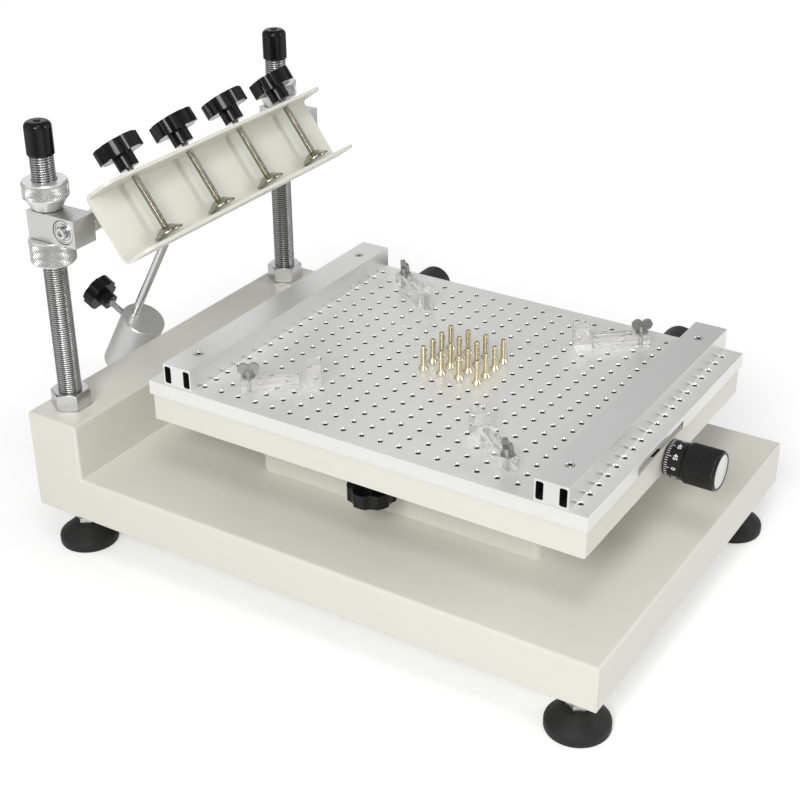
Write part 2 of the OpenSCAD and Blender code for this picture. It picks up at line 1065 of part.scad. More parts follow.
module dial_places() {
  translate([0, -skirt_l / 2, dial_z])
    rotate([90, 0, 0])
      children();
  for (s = [-1, 1])
    translate([skirt_w / 2, s * dial_y, dial_z])
      rotate([0, 90, 0])
        children();
}

module table_skirt() {
  color("Ivory")
    difference() {
      translate([0, 0, -skirt_h])
        linear_extrude(skirt_h - plate_t)
          difference() {
            rounded_rect(skirt_w, skirt_l, skirt_t);
            rounded_rect(room_w, skirt_l - 2 * skirt_t, skirt_t / 2);
          }
      front_notch(flange_t + skirt_t + overcut);
      dial_places()
        translate([0, 0, -skirt_t - overcut])
          cylinder(d = bush_d, h = skirt_t + 2 * overcut);
    }
}

// Perforated plate with its folded edge
module table_plate() {
  color("Gainsboro")
    difference() {
      union() {
        translate([0, 0, -plate_t])
          linear_extrude(plate_t)
            difference() {
              square([plate_w, plate_l], center = true);
              for (i = [-holes_x : holes_x], j = [-holes_y : holes_y])
                translate([i * pitch_x, j * pitch_y])
                  circle(d = hole_d);
            }
        translate([0, 0, -flange_h])
          linear_extrude(flange_h - plate_t)
            difference() {
              square([plate_w, plate_l], center = true);
              square([skirt_w, skirt_l], center = true);
            }
      }
      front_notch(flange_t + overcut / 2);
    }
}

module rail_screw_places() {
  for (s = [-1, 1])
    translate([0, s * rail_y, rail_h])
      both_sides(rail_end)
        children();
}

module board_rails() {
  color("Gainsboro")
    difference() {
      for (s = [-1, 1])
        translate([-rail_l / 2, s * rail_y, rail_h / 2])
          rotate([90, 0, 90])
            linear_extrude(rail_l)
              difference() {
                square([rail_w, rail_h], center = true);
                both_sides(rail_w / 2 - rail_wall - rail_slot_w / 2)
                  rounded_rect(rail_slot_w, rail_slot_h, rail_slot_r);
              }
      rail_screw_places()
        rail_screw();
    }
}

module rail_screw() {
  translate([0, 0, -rail_head_h])
    cylinder(d1 = rail_screw_d, d2 = rail_head_d, h = rail_head_h);
  translate([0, 0, -rail_h - plate_t])
    cylinder(d = rail_screw_d, h = rail_h + plate_t);
}

module rail_screws() {
  color("Silver")
    rail_screw_places()
      rail_screw();
}

module support_pins() {
  color("Goldenrod")
    for (i = [0 : pin_count - 1], j = [0 : pin_count - 1])
      translate([pin_first_x + i * pitch_x, pin_first_y + j * pitch_y, 0])
        difference() {
          union() {
            translate([0, 0, -pin_foot_h])
              cylinder(d = pin_foot_d, h = pin_foot_h + overcut);
            cylinder(d1 = pin_collar_d, d2 = pin_d, h = pin_collar_h);
            cylinder(d = pin_d, h = pin_h);
          }
          translate([0, 0, pin_h - pin_bore_h])
            cylinder(d = pin_bore_d, h = pin_bore_h + overcut);
        }
}

// Bushes that carry the adjusting spindles
module dial_bushes() {
  color("Silver")
    dial_places()
      translate([0, 0, -bush_l])
        tube(bush_d, spindle_d + 2 * run_fit, bush_l);
}

// Adjusting knob: graduated collar, knurled body and pale end disc
module dial(inside, gap) {
  color("DimGray") {
    translate([0, 0, -inside])
      cylinder(d = spindle_d, h = inside + overcut + gap);
    translate([0, 0, gap]) {
      cylinder(d = dial_collar_d, h = dial_collar_l + overcut);
      translate([0, 0, dial_collar_l])
        difference() {
          cylinder(d = dial_d, h = dial_l - dial_collar_l);
          translate([0, 0, dial_l - dial_collar_l - dial_cap_h])
            cylinder(d = dial_cap_d, h = dial_cap_h + overcut);
        }
    }
  }
}

module dial_front() {
  translate([0, -skirt_l / 2, dial_z])
    rotate([90, 0, 0])
      dial(spindle_l, dial_gap);
}

module dial_side() {
  translate([skirt_w / 2, dial_y, dial_z])
    rotate([0, 90, 0])
      dial(side_spindle_l, side_gap);
}

module dial_turn() {
  translate([skirt_w / 2, -dial_y, dial_z])
    rotate([0, 90, 0])
      dial(side_spindle_l, side_gap);
}

// Locators, numbered from the left front, counter-clockwise

module at_locator(sx, sy) {
  translate([sx * locator_x, sy * locator_y, 0])
    rotate(atan2(-sy * sin(locator_angle), -sx * cos(locator_angle)))
      children();
}

module locator() {
  color("White")
    translate([0, 0, locator_gap])
      difference() {
        union() {
          translate([-wing_end, -locator_w / 2, 0])
            cube([locator_l, locator_w, locator_bar_h]);
          translate([locator_l - wing_end - locator_stop_l, -locator_w / 2, 0])
            cube([locator_stop_l, locator_w, locator_stop_h]);
        }
        translate([0, -wing_slot / 2, -overcut])
          cube([wing_slot_l, wing_slot, locator_bar_h + 2 * overcut]);
        for (x = [0, wing_slot_l])
          translate([x, 0, -overcut])
            cylinder(d = wing_slot, h = locator_bar_h + 2 * overcut);
      }
}

module wing_screw() {
  color("Silver") {
    translate([0, 0, -wing_depth])
      cylinder(d = wing_d, h = wing_depth + washer_z + overcut);
    translate([0, 0, washer_z]) {
      cylinder(d = washer_d, h = washer_h);
      cylinder(d = wing_hub_d, h = wing_hub_h);
      for (s = [-1, 1])
        translate([s * wing_ear_x, 0, wing_ear_z])
          rotate([90, 0, 0])
            cylinder(d = wing_ear_d, h = wing_ear_t, center = true);
    }
  }
}

module locator_1() {
  at_locator(-1, -1)
    locator();
}

module locator_2() {
  at_locator(1, -1)
    locator();
}

module locator_3() {
  at_locator(1, 1)
    locator();
}

module locator_4() {
  at_locator(-1, 1)
    locator();
}

module wing_1() {
  at_locator(-1, -1)
    wing_screw();
}

module wing_2() {
  at_locator(1, -1)
    wing_screw();
}

module wing_3() {
  at_locator(1, 1)
    wing_screw();
}

module wing_4() {
  at_locator(-1, 1)
    wing_screw();
}

module lock_screw() {
  color("Silver")
    translate([-lock_x, 0, lock_hub_z - lock_hub_h])
      cylinder(d = lock_screw_d, h = lock_top - lock_hub_z + lock_hub_h);
}

module lock_knob() {
  color("DimGray")
    translate([-lock_x, 0, lock_hub_z])
      rotate([180, 0, 0])
        star_knob(knob_d, lock_knob_h, hub_d, lock_hub_h, lock_screw_d, lock_hub_h);
}

base_body();
bottom_plate();
foot_pads();
foot_studs();
pedestal();
bed_plate();
posts();
post_caps();
post_nuts();
hinge_blocks();
block_plugs();
upper_nut_left();
upper_nut_right();
lower_nut_left();
lower_nut_right();
frame_channel();
channel_ears();
hinge_shaft();
shaft_bolts();
rod_clamp();
clamp_bolts();
weight_rod();
counterweight();
weight_screw();
weight_knob();
pad_1();
pad_2();
pad_3();
pad_4();
screw_1();
screw_2();
screw_3();
screw_4();
knob_1();
knob_2();
knob_3();
knob_4();
slide_y();
slide_x();
cross_member();
table_skirt();
table_plate();
board_rails();
rail_screws();
support_pins();
dial_bushes();
dial_front();
dial_side();
dial_turn();
locator_1();
locator_2();
locator_3();
locator_4();
wing_1();
wing_2();
wing_3();
wing_4();
lock_screw();
lock_knob();
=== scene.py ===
# %% [markdown]
# # Dressing a manual stencil printer
# The machine is already built as exact solids, one for each piece, grouped into
# bodies that move. This lesson gives those solids their looks: threads, knurls,
# graduations, rounded edges, and a finish for each surface. The solids are the
# fixed frame. They could be modelled again by eye, but then holes and joints would
# drift, so every new piece here is measured from the frame instead.

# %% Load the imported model
import json
import math
from functools import partial
import bmesh
import bpy
from mathutils import Matrix, Vector


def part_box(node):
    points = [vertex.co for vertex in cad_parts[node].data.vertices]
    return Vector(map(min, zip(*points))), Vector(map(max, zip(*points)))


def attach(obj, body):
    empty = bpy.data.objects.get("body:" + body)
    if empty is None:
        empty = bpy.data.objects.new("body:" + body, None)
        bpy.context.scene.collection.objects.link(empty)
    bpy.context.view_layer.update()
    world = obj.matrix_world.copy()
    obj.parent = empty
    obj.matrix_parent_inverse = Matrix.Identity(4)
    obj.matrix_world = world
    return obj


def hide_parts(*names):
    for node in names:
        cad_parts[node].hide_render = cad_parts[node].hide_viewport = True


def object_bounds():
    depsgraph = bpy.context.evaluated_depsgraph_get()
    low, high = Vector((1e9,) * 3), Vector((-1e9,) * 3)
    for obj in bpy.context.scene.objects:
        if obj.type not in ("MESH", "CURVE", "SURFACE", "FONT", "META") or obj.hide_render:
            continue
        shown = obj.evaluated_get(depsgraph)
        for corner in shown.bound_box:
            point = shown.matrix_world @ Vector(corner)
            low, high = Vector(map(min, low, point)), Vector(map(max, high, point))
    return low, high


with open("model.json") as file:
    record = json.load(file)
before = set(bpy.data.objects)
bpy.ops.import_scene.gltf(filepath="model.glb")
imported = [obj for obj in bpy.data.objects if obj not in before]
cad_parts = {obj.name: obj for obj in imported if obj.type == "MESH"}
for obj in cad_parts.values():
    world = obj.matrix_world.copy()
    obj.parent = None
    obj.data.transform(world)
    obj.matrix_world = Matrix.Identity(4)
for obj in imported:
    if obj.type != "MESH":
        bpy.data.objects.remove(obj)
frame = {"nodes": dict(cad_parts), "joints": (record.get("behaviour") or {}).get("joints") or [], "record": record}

scene = bpy.context.scene
cad = frame["nodes"]
body_of_node = {n: b for b, ns in frame["record"]["behaviour"]["bodies"].items() for n in ns}
slot_of_node = {s["node"]: s["material_slot"] for s in frame["record"]["subparts"]}
joint = {j["name"]: j for j in frame["joints"]}
cad_box = [list(corner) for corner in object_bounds()]
MM = 0.001
print("nodes", len(cad), "box in mm", [[round(c * 1000) for c in p] for p in cad_box])

# %% [markdown]
# ## Camera
# The photograph was taken from the left front, a little above the table. Its camera
# was worked out from the straight edges of the base and the table, so the values are
# an azimuth, an elevation, a small roll and a distance from one target point. A
# camera could be placed by hand, but a solved one lets crops be compared directly.

# %% Camera
camera_azimuth, camera_elevation, camera_roll = -57.79, 28.64, -0.42
camera_target, camera_distance = Vector((0, 0.04985, -0.0464)), 1.315
focal_px, frame_px = 1518, 800

def camera_axes(azimuth, elevation, roll):
    a, e, r = (math.radians(v) for v in (azimuth, elevation, roll))
    back = Vector((math.sin(a) * math.cos(e), -math.cos(a) * math.cos(e), math.sin(e)))
    right = Vector((math.cos(a), math.sin(a), 0))
    up = back.cross(right)
    return math.cos(r) * right + math.sin(r) * up, math.cos(r) * up - math.sin(r) * right, back

right, up, back = camera_axes(camera_azimuth, camera_elevation, camera_roll)
turn = Matrix((right, up, back)).transposed().to_4x4()
camera = bpy.data.objects.new("camera", bpy.data.cameras.new("camera"))
camera.matrix_world = Matrix.Translation(camera_target + camera_distance * back) @ turn
camera.data.sensor_width = 36
camera.data.lens = focal_px / frame_px * camera.data.sensor_width
camera.data.clip_start, camera.data.clip_end = 0.05, 50
scene.collection.objects.link(camera)
scene.camera = camera
print("camera at", [round(c, 4) for c in camera.matrix_world.translation], "lens", round(camera.data.lens, 2))

# %% [markdown]
# ## Small helpers for node trees
# Materials, the world and the geometry trees are all made of nodes. Three helpers keep
# the cells short: one for a sum with numbers or sockets, one for a mapped range and one
# for a group with named inputs. The nodes could be wired one by one instead, but the
# lines that say what is meant would then be lost among them.

# %% Small helpers
def calc(tree, operation, *terms, clamp=False):
    node = tree.nodes.new("ShaderNodeMath")
    node.operation = operation
    node.use_clamp = clamp
    for socket, term in zip(node.inputs, terms):
        if isinstance(term, (int, float)):
            socket.default_value = term
        else:
            tree.links.new(term, socket)
    return node.outputs[0]

def group_with(name, inputs, outputs):
    group = bpy.data.node_groups.new(name, "ShaderNodeTree")
    for label, kind, value in inputs:
        socket = group.interface.new_socket(label, in_out="INPUT", socket_type=kind)
        socket.default_value = value
    for label, kind in outputs:
        group.interface.new_socket(label, in_out="OUTPUT", socket_type=kind)
    return group, group.nodes.new("NodeGroupInput"), group.nodes.new("NodeGroupOutput")

def map_range(tree, source, low, high, given=(0, 1)):
    node = tree.nodes.new("ShaderNodeMapRange")
    tree.links.new(source, node.inputs["Value"])
    for socket, value in (("From Min", given[0]), ("From Max", given[1]), ("To Min", low), ("To Max", high)):
        if isinstance(value, (int, float)):
            node.inputs[socket].default_value = value
        else:
            tree.links.new(value, node.inputs[socket])
    return node

# %% [markdown]
# ## Stage and light
# A product shot on white: a pale floor, a key from the left that is low enough to fill
# the sides, a narrow strip in front, a small box above and the world round it. The floor could
# be lit until it clips, but that would burn the cream paint too. So the last part of
# the white is the floor's own glow, only for rays that the camera, gloss or glass sends.
# Bare metal looks like metal only if its surroundings differ: for gloss, four soft boxes
# stand in the corners of the room, with darker gaps and a darker ceiling.

# %% Stage and light
floor_z = cad_box[0][2]
scene.view_settings.view_transform = "Standard"
walls, given, made = group_with("studio walls", [("Place", "NodeSocketVector", (0, 0, 0))], [("Level", "NodeSocketFloat")])
place = walls.nodes.new("ShaderNodeSeparateXYZ")
walls.links.new(given.outputs["Place"], place.inputs[0])
corners = calc(walls, "COSINE", calc(walls, "MULTIPLY", calc(walls, "ARCTAN2", place.outputs[1], place.outputs[0]), 4))
walls.links.new(map_range(walls, corners, 1.0, 0.3, (-1, 1)).outputs[0], made.inputs["Level"])

def room(tree, coordinate):
    """Wall level, place and ray kinds for the floor or the world."""
    where = tree.nodes.new("ShaderNodeTexCoord").outputs[coordinate]
    level = tree.nodes.new("ShaderNodeGroup")
    level.node_tree = walls
    tree.links.new(where, level.inputs["Place"])
    split = tree.nodes.new("ShaderNodeSeparateXYZ")
    tree.links.new(where, split.inputs[0])
    path = tree.nodes.new("ShaderNodeLightPath").outputs
    direct = calc(tree, "MAXIMUM", path["Is Camera Ray"], path["Is Transmission Ray"])
    return level.outputs["Level"], split.outputs, direct, path["Is Glossy Ray"]

floor_mesh = bpy.data.meshes.new("floor")
floor_mesh.from_pydata([(-9, -9, floor_z), (9, -9, floor_z), (9, 9, floor_z), (-9, 9, floor_z)], [], [(0, 1, 2, 3)])
floor = bpy.data.objects.new("floor", floor_mesh)
scene.collection.objects.link(floor)
floor_paper = bpy.data.materials.new("floor_paper")
floor_paper.use_nodes = True
tree = floor_paper.node_tree
level, xyz, direct, gloss = room(tree, "Object")
reach = calc(tree, "SQRT", calc(tree, "ADD", calc(tree, "POWER", xyz[0], 2), calc(tree, "POWER", xyz[1], 2)))
far = map_range(tree, reach, 0.0, 1.0, (0.35, 0.9)).outputs[0]
shade = calc(tree, "MULTIPLY_ADD", calc(tree, "MULTIPLY", gloss, far), calc(tree, "SUBTRACT", level, 1), 1)
paper = tree.nodes["Principled BSDF"]
paper.inputs["Roughness"].default_value = 0.9
paper.inputs["Specular IOR Level"].default_value = 0.1
tree.links.new(calc(tree, "MULTIPLY", shade, 0.86), paper.inputs["Base Color"])
glow = tree.nodes.new("ShaderNodeEmission")
white = calc(tree, "MULTIPLY_ADD", far, 0.3, 0.36)
seen = calc(tree, "MULTIPLY", calc(tree, "MAXIMUM", direct, gloss), shade)
tree.links.new(calc(tree, "MULTIPLY", seen, white), glow.inputs["Strength"])
lit = tree.nodes.new("ShaderNodeAddShader")
tree.links.new(paper.outputs[0], lit.inputs[0])
tree.links.new(glow.outputs[0], lit.inputs[1])
tree.links.new(lit.outputs[0], tree.nodes["Material Output"].inputs["Surface"])
floor_paper.cycles.emission_sampling = "NONE"  # its glow is only for what looks at it, so it isn't a lamp
floor_mesh.materials.append(floor_paper)

world = bpy.data.worlds.new("studio")
scene.world = world
world.use_nodes = True
tree = world.node_tree
level, xyz, direct, gloss = room(tree, "Generated")
soft_box = 0.31
studio = calc(tree, "MULTIPLY", level, map_range(tree, xyz[2], 1.0, 0.5, (0.55, 0.85)).outputs[0])
strength = calc(tree, "MULTIPLY_ADD", gloss, calc(tree, "SUBTRACT", studio, soft_box), soft_box)
strength = calc(tree, "MULTIPLY_ADD", direct, calc(tree, "SUBTRACT", 1, strength), strength)
sky = tree.nodes["Background"]
sky.inputs["Color"].default_value = (0.98, 0.985, 1.0, 1)
tree.links.new(strength, sky.inputs["Strength"])

def soft_lamp(name, place, size, power):
    lamp = bpy.data.lights.new(name, "AREA")
    lamp.shape = "ELLIPSE"
    lamp.size, lamp.size_y = size
    lamp.energy = power
    thing = bpy.data.objects.new(name, lamp)
    thing.location = place
    thing.rotation_euler = (lamp_aim - Vector(place)).to_track_quat("-Z", "Y").to_euler()
    scene.collection.objects.link(thing)

lamp_aim = Vector((0, 0.05, 0))
soft_lamp("key", (-2.0, -0.55, 1.3), (0.9, 0.9), 29.5)
soft_lamp("strip", (0.9, -2.2, 1.1), (0.35, 1.5), 14)
soft_lamp("top", (-0.8, -0.5, 1.8), (0.7, 0.7), 6.5)
print("floor at", round(floor_z * 1000, 1), "mm; lamps: key, strip, top")

# %% [markdown]
# ## Shared surface effects
# No real finish is one flat colour. Paint has slow changes of tone and an orange-peel
# skin, metal has the grain of its machining, rubber has dust. All of them are two
# scales of noise used with different values, so they are one node group: "patches" for
# slow colour change and "grain" for the fine skin. It puts out only a colour and numbers;
# each material keeps its own shader.

# %% Surface groups
def noise_on(tree, scale, stretch=None, detail=3.0):
    coordinates = tree.nodes.new("ShaderNodeTexCoord")
    noise = tree.nodes.new("ShaderNodeTexNoise")
    noise.inputs["Detail"].default_value = detail
    if stretch is None:
        tree.links.new(coordinates.outputs["Object"], noise.inputs["Vector"])
    else:
        mapping = tree.nodes.new("ShaderNodeMapping")
        tree.links.new(coordinates.outputs["Object"], mapping.inputs["Vector"])
        tree.links.new(stretch, mapping.inputs["Scale"])
        tree.links.new(mapping.outputs[0], noise.inputs["Vector"])
    tree.links.new(scale, noise.inputs["Scale"])
    return noise.outputs["Fac"]

surface, given, made = group_with(
    "patches and grain",
    [("Colour", "NodeSocketColor", (0.5, 0.5, 0.5, 1)), ("Tint", "NodeSocketColor", (0.4, 0.4, 0.4, 1)),
     ("Patch Scale", "NodeSocketFloat", 9.0), ("Grain Scale", "NodeSocketFloat", 900.0),
     ("Grain Stretch", "NodeSocketVector", (1, 1, 1)), ("Grain Tint", "NodeSocketFloat", 0.2),
     ("Rough Low", "NodeSocketFloat", 0.3), ("Rough High", "NodeSocketFloat", 0.5)],
    [("Colour", "NodeSocketColor"), ("Roughness", "NodeSocketFloat"), ("Height", "NodeSocketFloat")])
link = surface.links.new
patch = noise_on(surface, given.outputs["Patch Scale"], detail=2.0)
grain = noise_on(surface, given.outputs["Grain Scale"], given.outputs["Grain Stretch"])
patch_mask = map_range(surface, patch, 0.0, 1.0, (0.1, 0.9))
both = surface.nodes.new("ShaderNodeMix")
both.data_type = "FLOAT"
link(given.outputs["Grain Tint"], both.inputs[0])
link(patch_mask.outputs[0], both.inputs[2])
link(grain, both.inputs[3])
tone = surface.nodes.new("ShaderNodeMix")
tone.data_type = "RGBA"
link(both.outputs[0], tone.inputs[0])
link(given.outputs["Colour"], tone.inputs[6])
link(given.outputs["Tint"], tone.inputs[7])
link(tone.outputs[2], made.inputs["Colour"])
link(map_range(surface, both.outputs[0], given.outputs["Rough Low"], given.outputs["Rough High"]).outputs[0],
     made.inputs["Roughness"])
link(grain, made.inputs["Height"])

print("groups:", walls.name, "|", surface.name)

# %% [markdown]
# ## Finishes
# Each finish names what it is on the machine, or the painted shade or highlight that it
# stands for. The group gives colour, roughness and height; a Bump node turns the height
# into the skin that catches light. Values that are the same all over, such as metallic or
# coat, are set on the shader itself. Threads and knurls get painted shade in their grooves:
# their finishes read how deep a point is sunk and darken it there.

# %% Finishes
def finish(name, colour, tint, rough, patch=9.0, grain=900.0, stretch=(1, 1, 1), grain_tint=0.4,
           bump=0.05, bump_mm=0.05, groove_shade=None, **shader):
    """One procedural material. groove_shade is the share of colour left in a groove's bottom, as painted shade."""
    material = bpy.data.materials.new(name)
    material.use_nodes = True
    tree = material.node_tree
    skin = tree.nodes["Principled BSDF"]
    for socket, value in shader.items():
        skin.inputs[socket.replace("_", " ")].default_value = value
    life = tree.nodes.new("ShaderNodeGroup")
    life.node_tree = surface
    for socket, value in (("Colour", (*colour, 1)), ("Tint", (*tint, 1)), ("Patch Scale", patch), ("Grain Scale", grain),
                          ("Grain Stretch", stretch), ("Grain Tint", grain_tint),
                          ("Rough Low", rough[0]), ("Rough High", rough[1])):
        life.inputs[socket].default_value = value
    colour_out = life.outputs["Colour"]
    # Painted shade: the colour is multiplied down where the stored sunk value is high, in thread and knurl grooves.
    if groove_shade is not None:
        sunk = tree.nodes.new("ShaderNodeAttribute")
        sunk.attribute_name = "sunk"
        darker = tree.nodes.new("ShaderNodeMix")
        darker.data_type = "RGBA"
        darker.blend_type = "MULTIPLY"
        darker.inputs[7].default_value = (groove_shade, groove_shade, groove_shade, 1)
        tree.links.new(sunk.outputs["Fac"], darker.inputs[0])
        tree.links.new(colour_out, darker.inputs[6])
        colour_out = darker.outputs[2]
    tree.links.new(colour_out, skin.inputs["Base Color"])
    tree.links.new(life.outputs["Roughness"], skin.inputs["Roughness"])
    relief = tree.nodes.new("ShaderNodeBump")
    relief.inputs["Strength"].default_value = bump
    relief.inputs["Distance"].default_value = bump_mm * MM
    tree.links.new(life.outputs["Height"], relief.inputs["Height"])
    tree.links.new(relief.outputs[0], skin.inputs["Normal"])
    return material

cream_paint = finish("cream_paint", (0.83, 0.825, 0.74), (0.80, 0.795, 0.705), (0.36, 0.5), patch=5, grain=750,
                     grain_tint=0.35, bump=0.12, bump_mm=0.12, Coat_Weight=0.15, Coat_Roughness=0.25)
plate_aluminium = finish("plate_aluminium", (0.85, 0.85, 0.825), (0.81, 0.81, 0.785), (0.32, 0.44), patch=10, grain=70,
                         stretch=(10, 1, 1), grain_tint=0.3, bump=0.02, bump_mm=0.04, Metallic=0.5)
# Countersunk rims: smoother cut metal, and a lighter colour than the plate as a painted highlight.
rim_aluminium_highlight = finish("rim_aluminium_highlight", (0.92, 0.92, 0.91), (0.86, 0.86, 0.85), (0.22, 0.32), patch=200, grain=300,
                       bump=0.02, bump_mm=0.04, Metallic=0.7)
# Painted shade: near-black for hole walls and screw gaps, where shade falls.
painted_hole_shade = finish("painted_hole_shade", (0.05, 0.05, 0.048), (0.09, 0.09, 0.086), (0.45, 0.6), patch=200, grain=900,
                   grain_tint=0.5, bump=0.1, bump_mm=0.04, Metallic=0.6)
rail_aluminium = finish("rail_aluminium", (0.78, 0.785, 0.765), (0.73, 0.735, 0.715), (0.26, 0.34), patch=7, grain=70,
                        stretch=(1, 10, 10), grain_tint=0.3, bump=0.02, bump_mm=0.04, Metallic=0.7)
# Painted shade: near-black for the shaded hollow inside the rail tubes.
rail_inside_shade = finish("rail_inside_shade", (0.012, 0.012, 0.012), (0.02, 0.02, 0.02), (0.6, 0.8), patch=30, grain=400,
                     grain_tint=0.5, bump=0.1, Specular_IOR_Level=0.1)
block_aluminium = finish("block_aluminium", (0.60, 0.60, 0.585), (0.51, 0.51, 0.495), (0.25, 0.4), patch=30, grain=160,
                         stretch=(1, 8, 1), grain_tint=0.5, bump=0.06, Metallic=1.0)
nut_aluminium = finish("nut_aluminium", (0.88, 0.88, 0.87), (0.76, 0.76, 0.75), (0.24, 0.38), patch=40, grain=300,
                       stretch=(1, 1, 5), bump=0.04, Metallic=0.65, groove_shade=0.35)
bright_zinc = finish("bright_zinc", (0.68, 0.68, 0.68), (0.5, 0.5, 0.49), (0.16, 0.3), patch=45, grain=600,
                     bump=0.05, Metallic=1.0, groove_shade=0.28)
polished_steel = finish("polished_steel", (0.74, 0.74, 0.74), (0.64, 0.64, 0.64), (0.08, 0.16), patch=30, grain=500,
                        stretch=(6, 1, 1), bump=0.03, bump_mm=0.03, Metallic=1.0)
weight_zinc = finish("weight_zinc", (0.74, 0.745, 0.73), (0.64, 0.645, 0.63), (0.28, 0.42), patch=35, grain=300,
                     bump=0.06, bump_mm=0.06, Metallic=0.6)
warm_nickel = finish("warm_nickel", (0.48, 0.46, 0.38), (0.36, 0.34, 0.27), (0.1, 0.2), patch=50, grain=300,
                     bump=0.04, Metallic=1.0, groove_shade=0.45)
dull_nickel = finish("dull_nickel", (0.40, 0.40, 0.385), (0.3, 0.3, 0.29), (0.3, 0.42), patch=60, grain=400,
                     grain_tint=0.5, bump=0.06, bump_mm=0.08, Metallic=0.75)
pin_brass = finish("pin_brass", (0.72, 0.645, 0.46), (0.6, 0.53, 0.36), (0.2, 0.32), patch=60, grain=300,
                   stretch=(1, 1, 3), bump=0.04, bump_mm=0.04, Metallic=0.9)
knob_plastic = finish("knob_plastic", (0.006, 0.006, 0.0065), (0.011, 0.011, 0.0115), (0.1, 0.18), patch=40, grain=1100,
                      bump=0.04, Specular_IOR_Level=0.22)
cap_vinyl = finish("cap_vinyl", (0.006, 0.006, 0.006), (0.01, 0.01, 0.01), (0.1, 0.17), patch=25, grain=400,
                   grain_tint=0.3, bump=0.04, bump_mm=0.1, Specular_IOR_Level=0.2)
foot_rubber = finish("foot_rubber", (0.012, 0.012, 0.012), (0.022, 0.0215, 0.021), (0.5, 0.7), patch=30, grain=900,
                     grain_tint=0.5, bump=0.15, bump_mm=0.1, Specular_IOR_Level=0.3)
dial_black = finish("dial_black", (0.009, 0.009, 0.0095), (0.016, 0.016, 0.016), (0.2, 0.32), patch=40, grain=900,
                    bump=0.06, Specular_IOR_Level=0.3, groove_shade=0.5)
dial_disc = finish("dial_disc", (0.74, 0.745, 0.72), (0.66, 0.665, 0.64), (0.3, 0.45), patch=60, grain=700,
                   bump=0.05, bump_mm=0.04, Metallic=0.9)
white_ink = finish("white_ink", (0.86, 0.86, 0.84), (0.76, 0.76, 0.74), (0.5, 0.65), patch=200, grain=1500,
                   grain_tint=0.5, bump=0.05, bump_mm=0.03)
slide_steel = finish("slide_steel", (0.45, 0.45, 0.45), (0.36, 0.36, 0.35), (0.3, 0.5), patch=12, grain=300,
                     stretch=(1, 14, 1), grain_tint=0.5, bump=0.08, Metallic=1.0)

clear_acrylic = finish("clear_acrylic", (0.98, 0.98, 0.97), (0.96, 0.96, 0.95), (0.0, 0.03), patch=40, grain=400,
                       grain_tint=0.3, bump=0.0, bump_mm=0.01, Transmission_Weight=0.88, IOR=1.1)
sawn_acrylic = finish("sawn_acrylic", (0.955, 0.95, 0.935), (0.92, 0.915, 0.9), (0.03, 0.08), patch=60, grain=400,
                      grain_tint=0.5, bump=0.0, bump_mm=0.03, Transmission_Weight=0.8, IOR=1.1)
# The next two finishes are painted shade: grey on the locators' rounded edges, dark on the edges of their slots.
acrylic_edge_shade = finish("acrylic_edge_shade", (0.62, 0.64, 0.63), (0.5, 0.52, 0.51), (0.1, 0.2), patch=60, grain=400,
                      grain_tint=0.5, bump=0.01, bump_mm=0.03, Transmission_Weight=0.35, IOR=1.3)
slot_acrylic_shade = finish("slot_acrylic_shade", (0.16, 0.16, 0.155), (0.09, 0.09, 0.088), (0.2, 0.35), patch=60, grain=400,
                      grain_tint=0.5, bump=0.02, bump_mm=0.03)
finish_of_slot = {
    "cream_paint": cream_paint, "black_rubber": foot_rubber, "cap_vinyl": cap_vinyl, "zinc_steel": bright_zinc,
    "polished_steel": polished_steel, "nickel": warm_nickel, "slide_steel": slide_steel,
    "weight_steel": weight_zinc, "aluminium": block_aluminium, "black_plastic": knob_plastic,
    "dial_black": dial_black, "pin_brass": pin_brass, "clear_acrylic": clear_acrylic, "wing_nickel": dull_nickel}
finish_of_node = {"table_plate": plate_aluminium, "board_rails": rail_aluminium}
print("finishes:", len(bpy.data.materials))

def finish_for(node):
    return finish_of_node.get(node, finish_of_slot[slot_of_node[node]])

for name, thing in cad.items():
    if not thing.material_slots:
        thing.data.materials.append(None)
    for slot in thing.material_slots:
        slot.material = finish_for(name)
print("dressed", len(cad), "nodes")

# %% [markdown]
# ## Rounded edges
# Machined and moulded edges always carry a small radius, and it is what catches the
# light. Normals could be faked in the shader, but a true bevel also shows on the
# outline. A copy of the CAD node is merged from its loose triangles, flat triangles
# are dissolved into whole faces, and a Bevel modifier rounds every edge above an angle.
# Normals weighted by area then keep the large faces flat. The star knobs' lobes run
# into their valleys in one wave, so those edges are rounded first and much more.
# The locators are clear: their sawn sides get a frosted finish of their own, and their
# rounded edges and the edges of their slots are painted grey and dark, as painted shade
# that draws their outlines, or they would hardly show.

# %% Rounded edges
def evaluated_mesh(thing):
    """The thing's mesh with its modifiers applied; the thing itself is removed."""
    bpy.context.view_layer.update()
    graph = bpy.context.evaluated_depsgraph_get()
    mesh = bpy.data.meshes.new_from_object(thing.evaluated_get(graph), depsgraph=graph)
    bpy.data.objects.remove(thing)
    return mesh

def linked(name, mesh):
    thing = bpy.data.objects.new(name, mesh)
    scene.collection.objects.link(thing)
    return thing

def add_piece(name, mesh, node):
    """A finished mesh that stands for a CAD node and rides where it rides."""
    mesh.name = name
    piece = linked(name, mesh)
    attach(piece, body_of_node[node])
    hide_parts(node)
    return piece

def keep_flat(thing):
    """Normals weighted by area, so that large flat faces stay flat beside a rounded edge."""
    flat = thing.modifiers.new("flat faces stay flat", "WEIGHTED_NORMAL")
    flat.mode = "FACE_AREA"
    flat.weight = 50
    flat.keep_sharp = True

weld = 0.004 * MM  # points of loose triangles that lie nearer than this are one point
sharp_edge, lobe_edge = math.radians(40), math.radians(30)

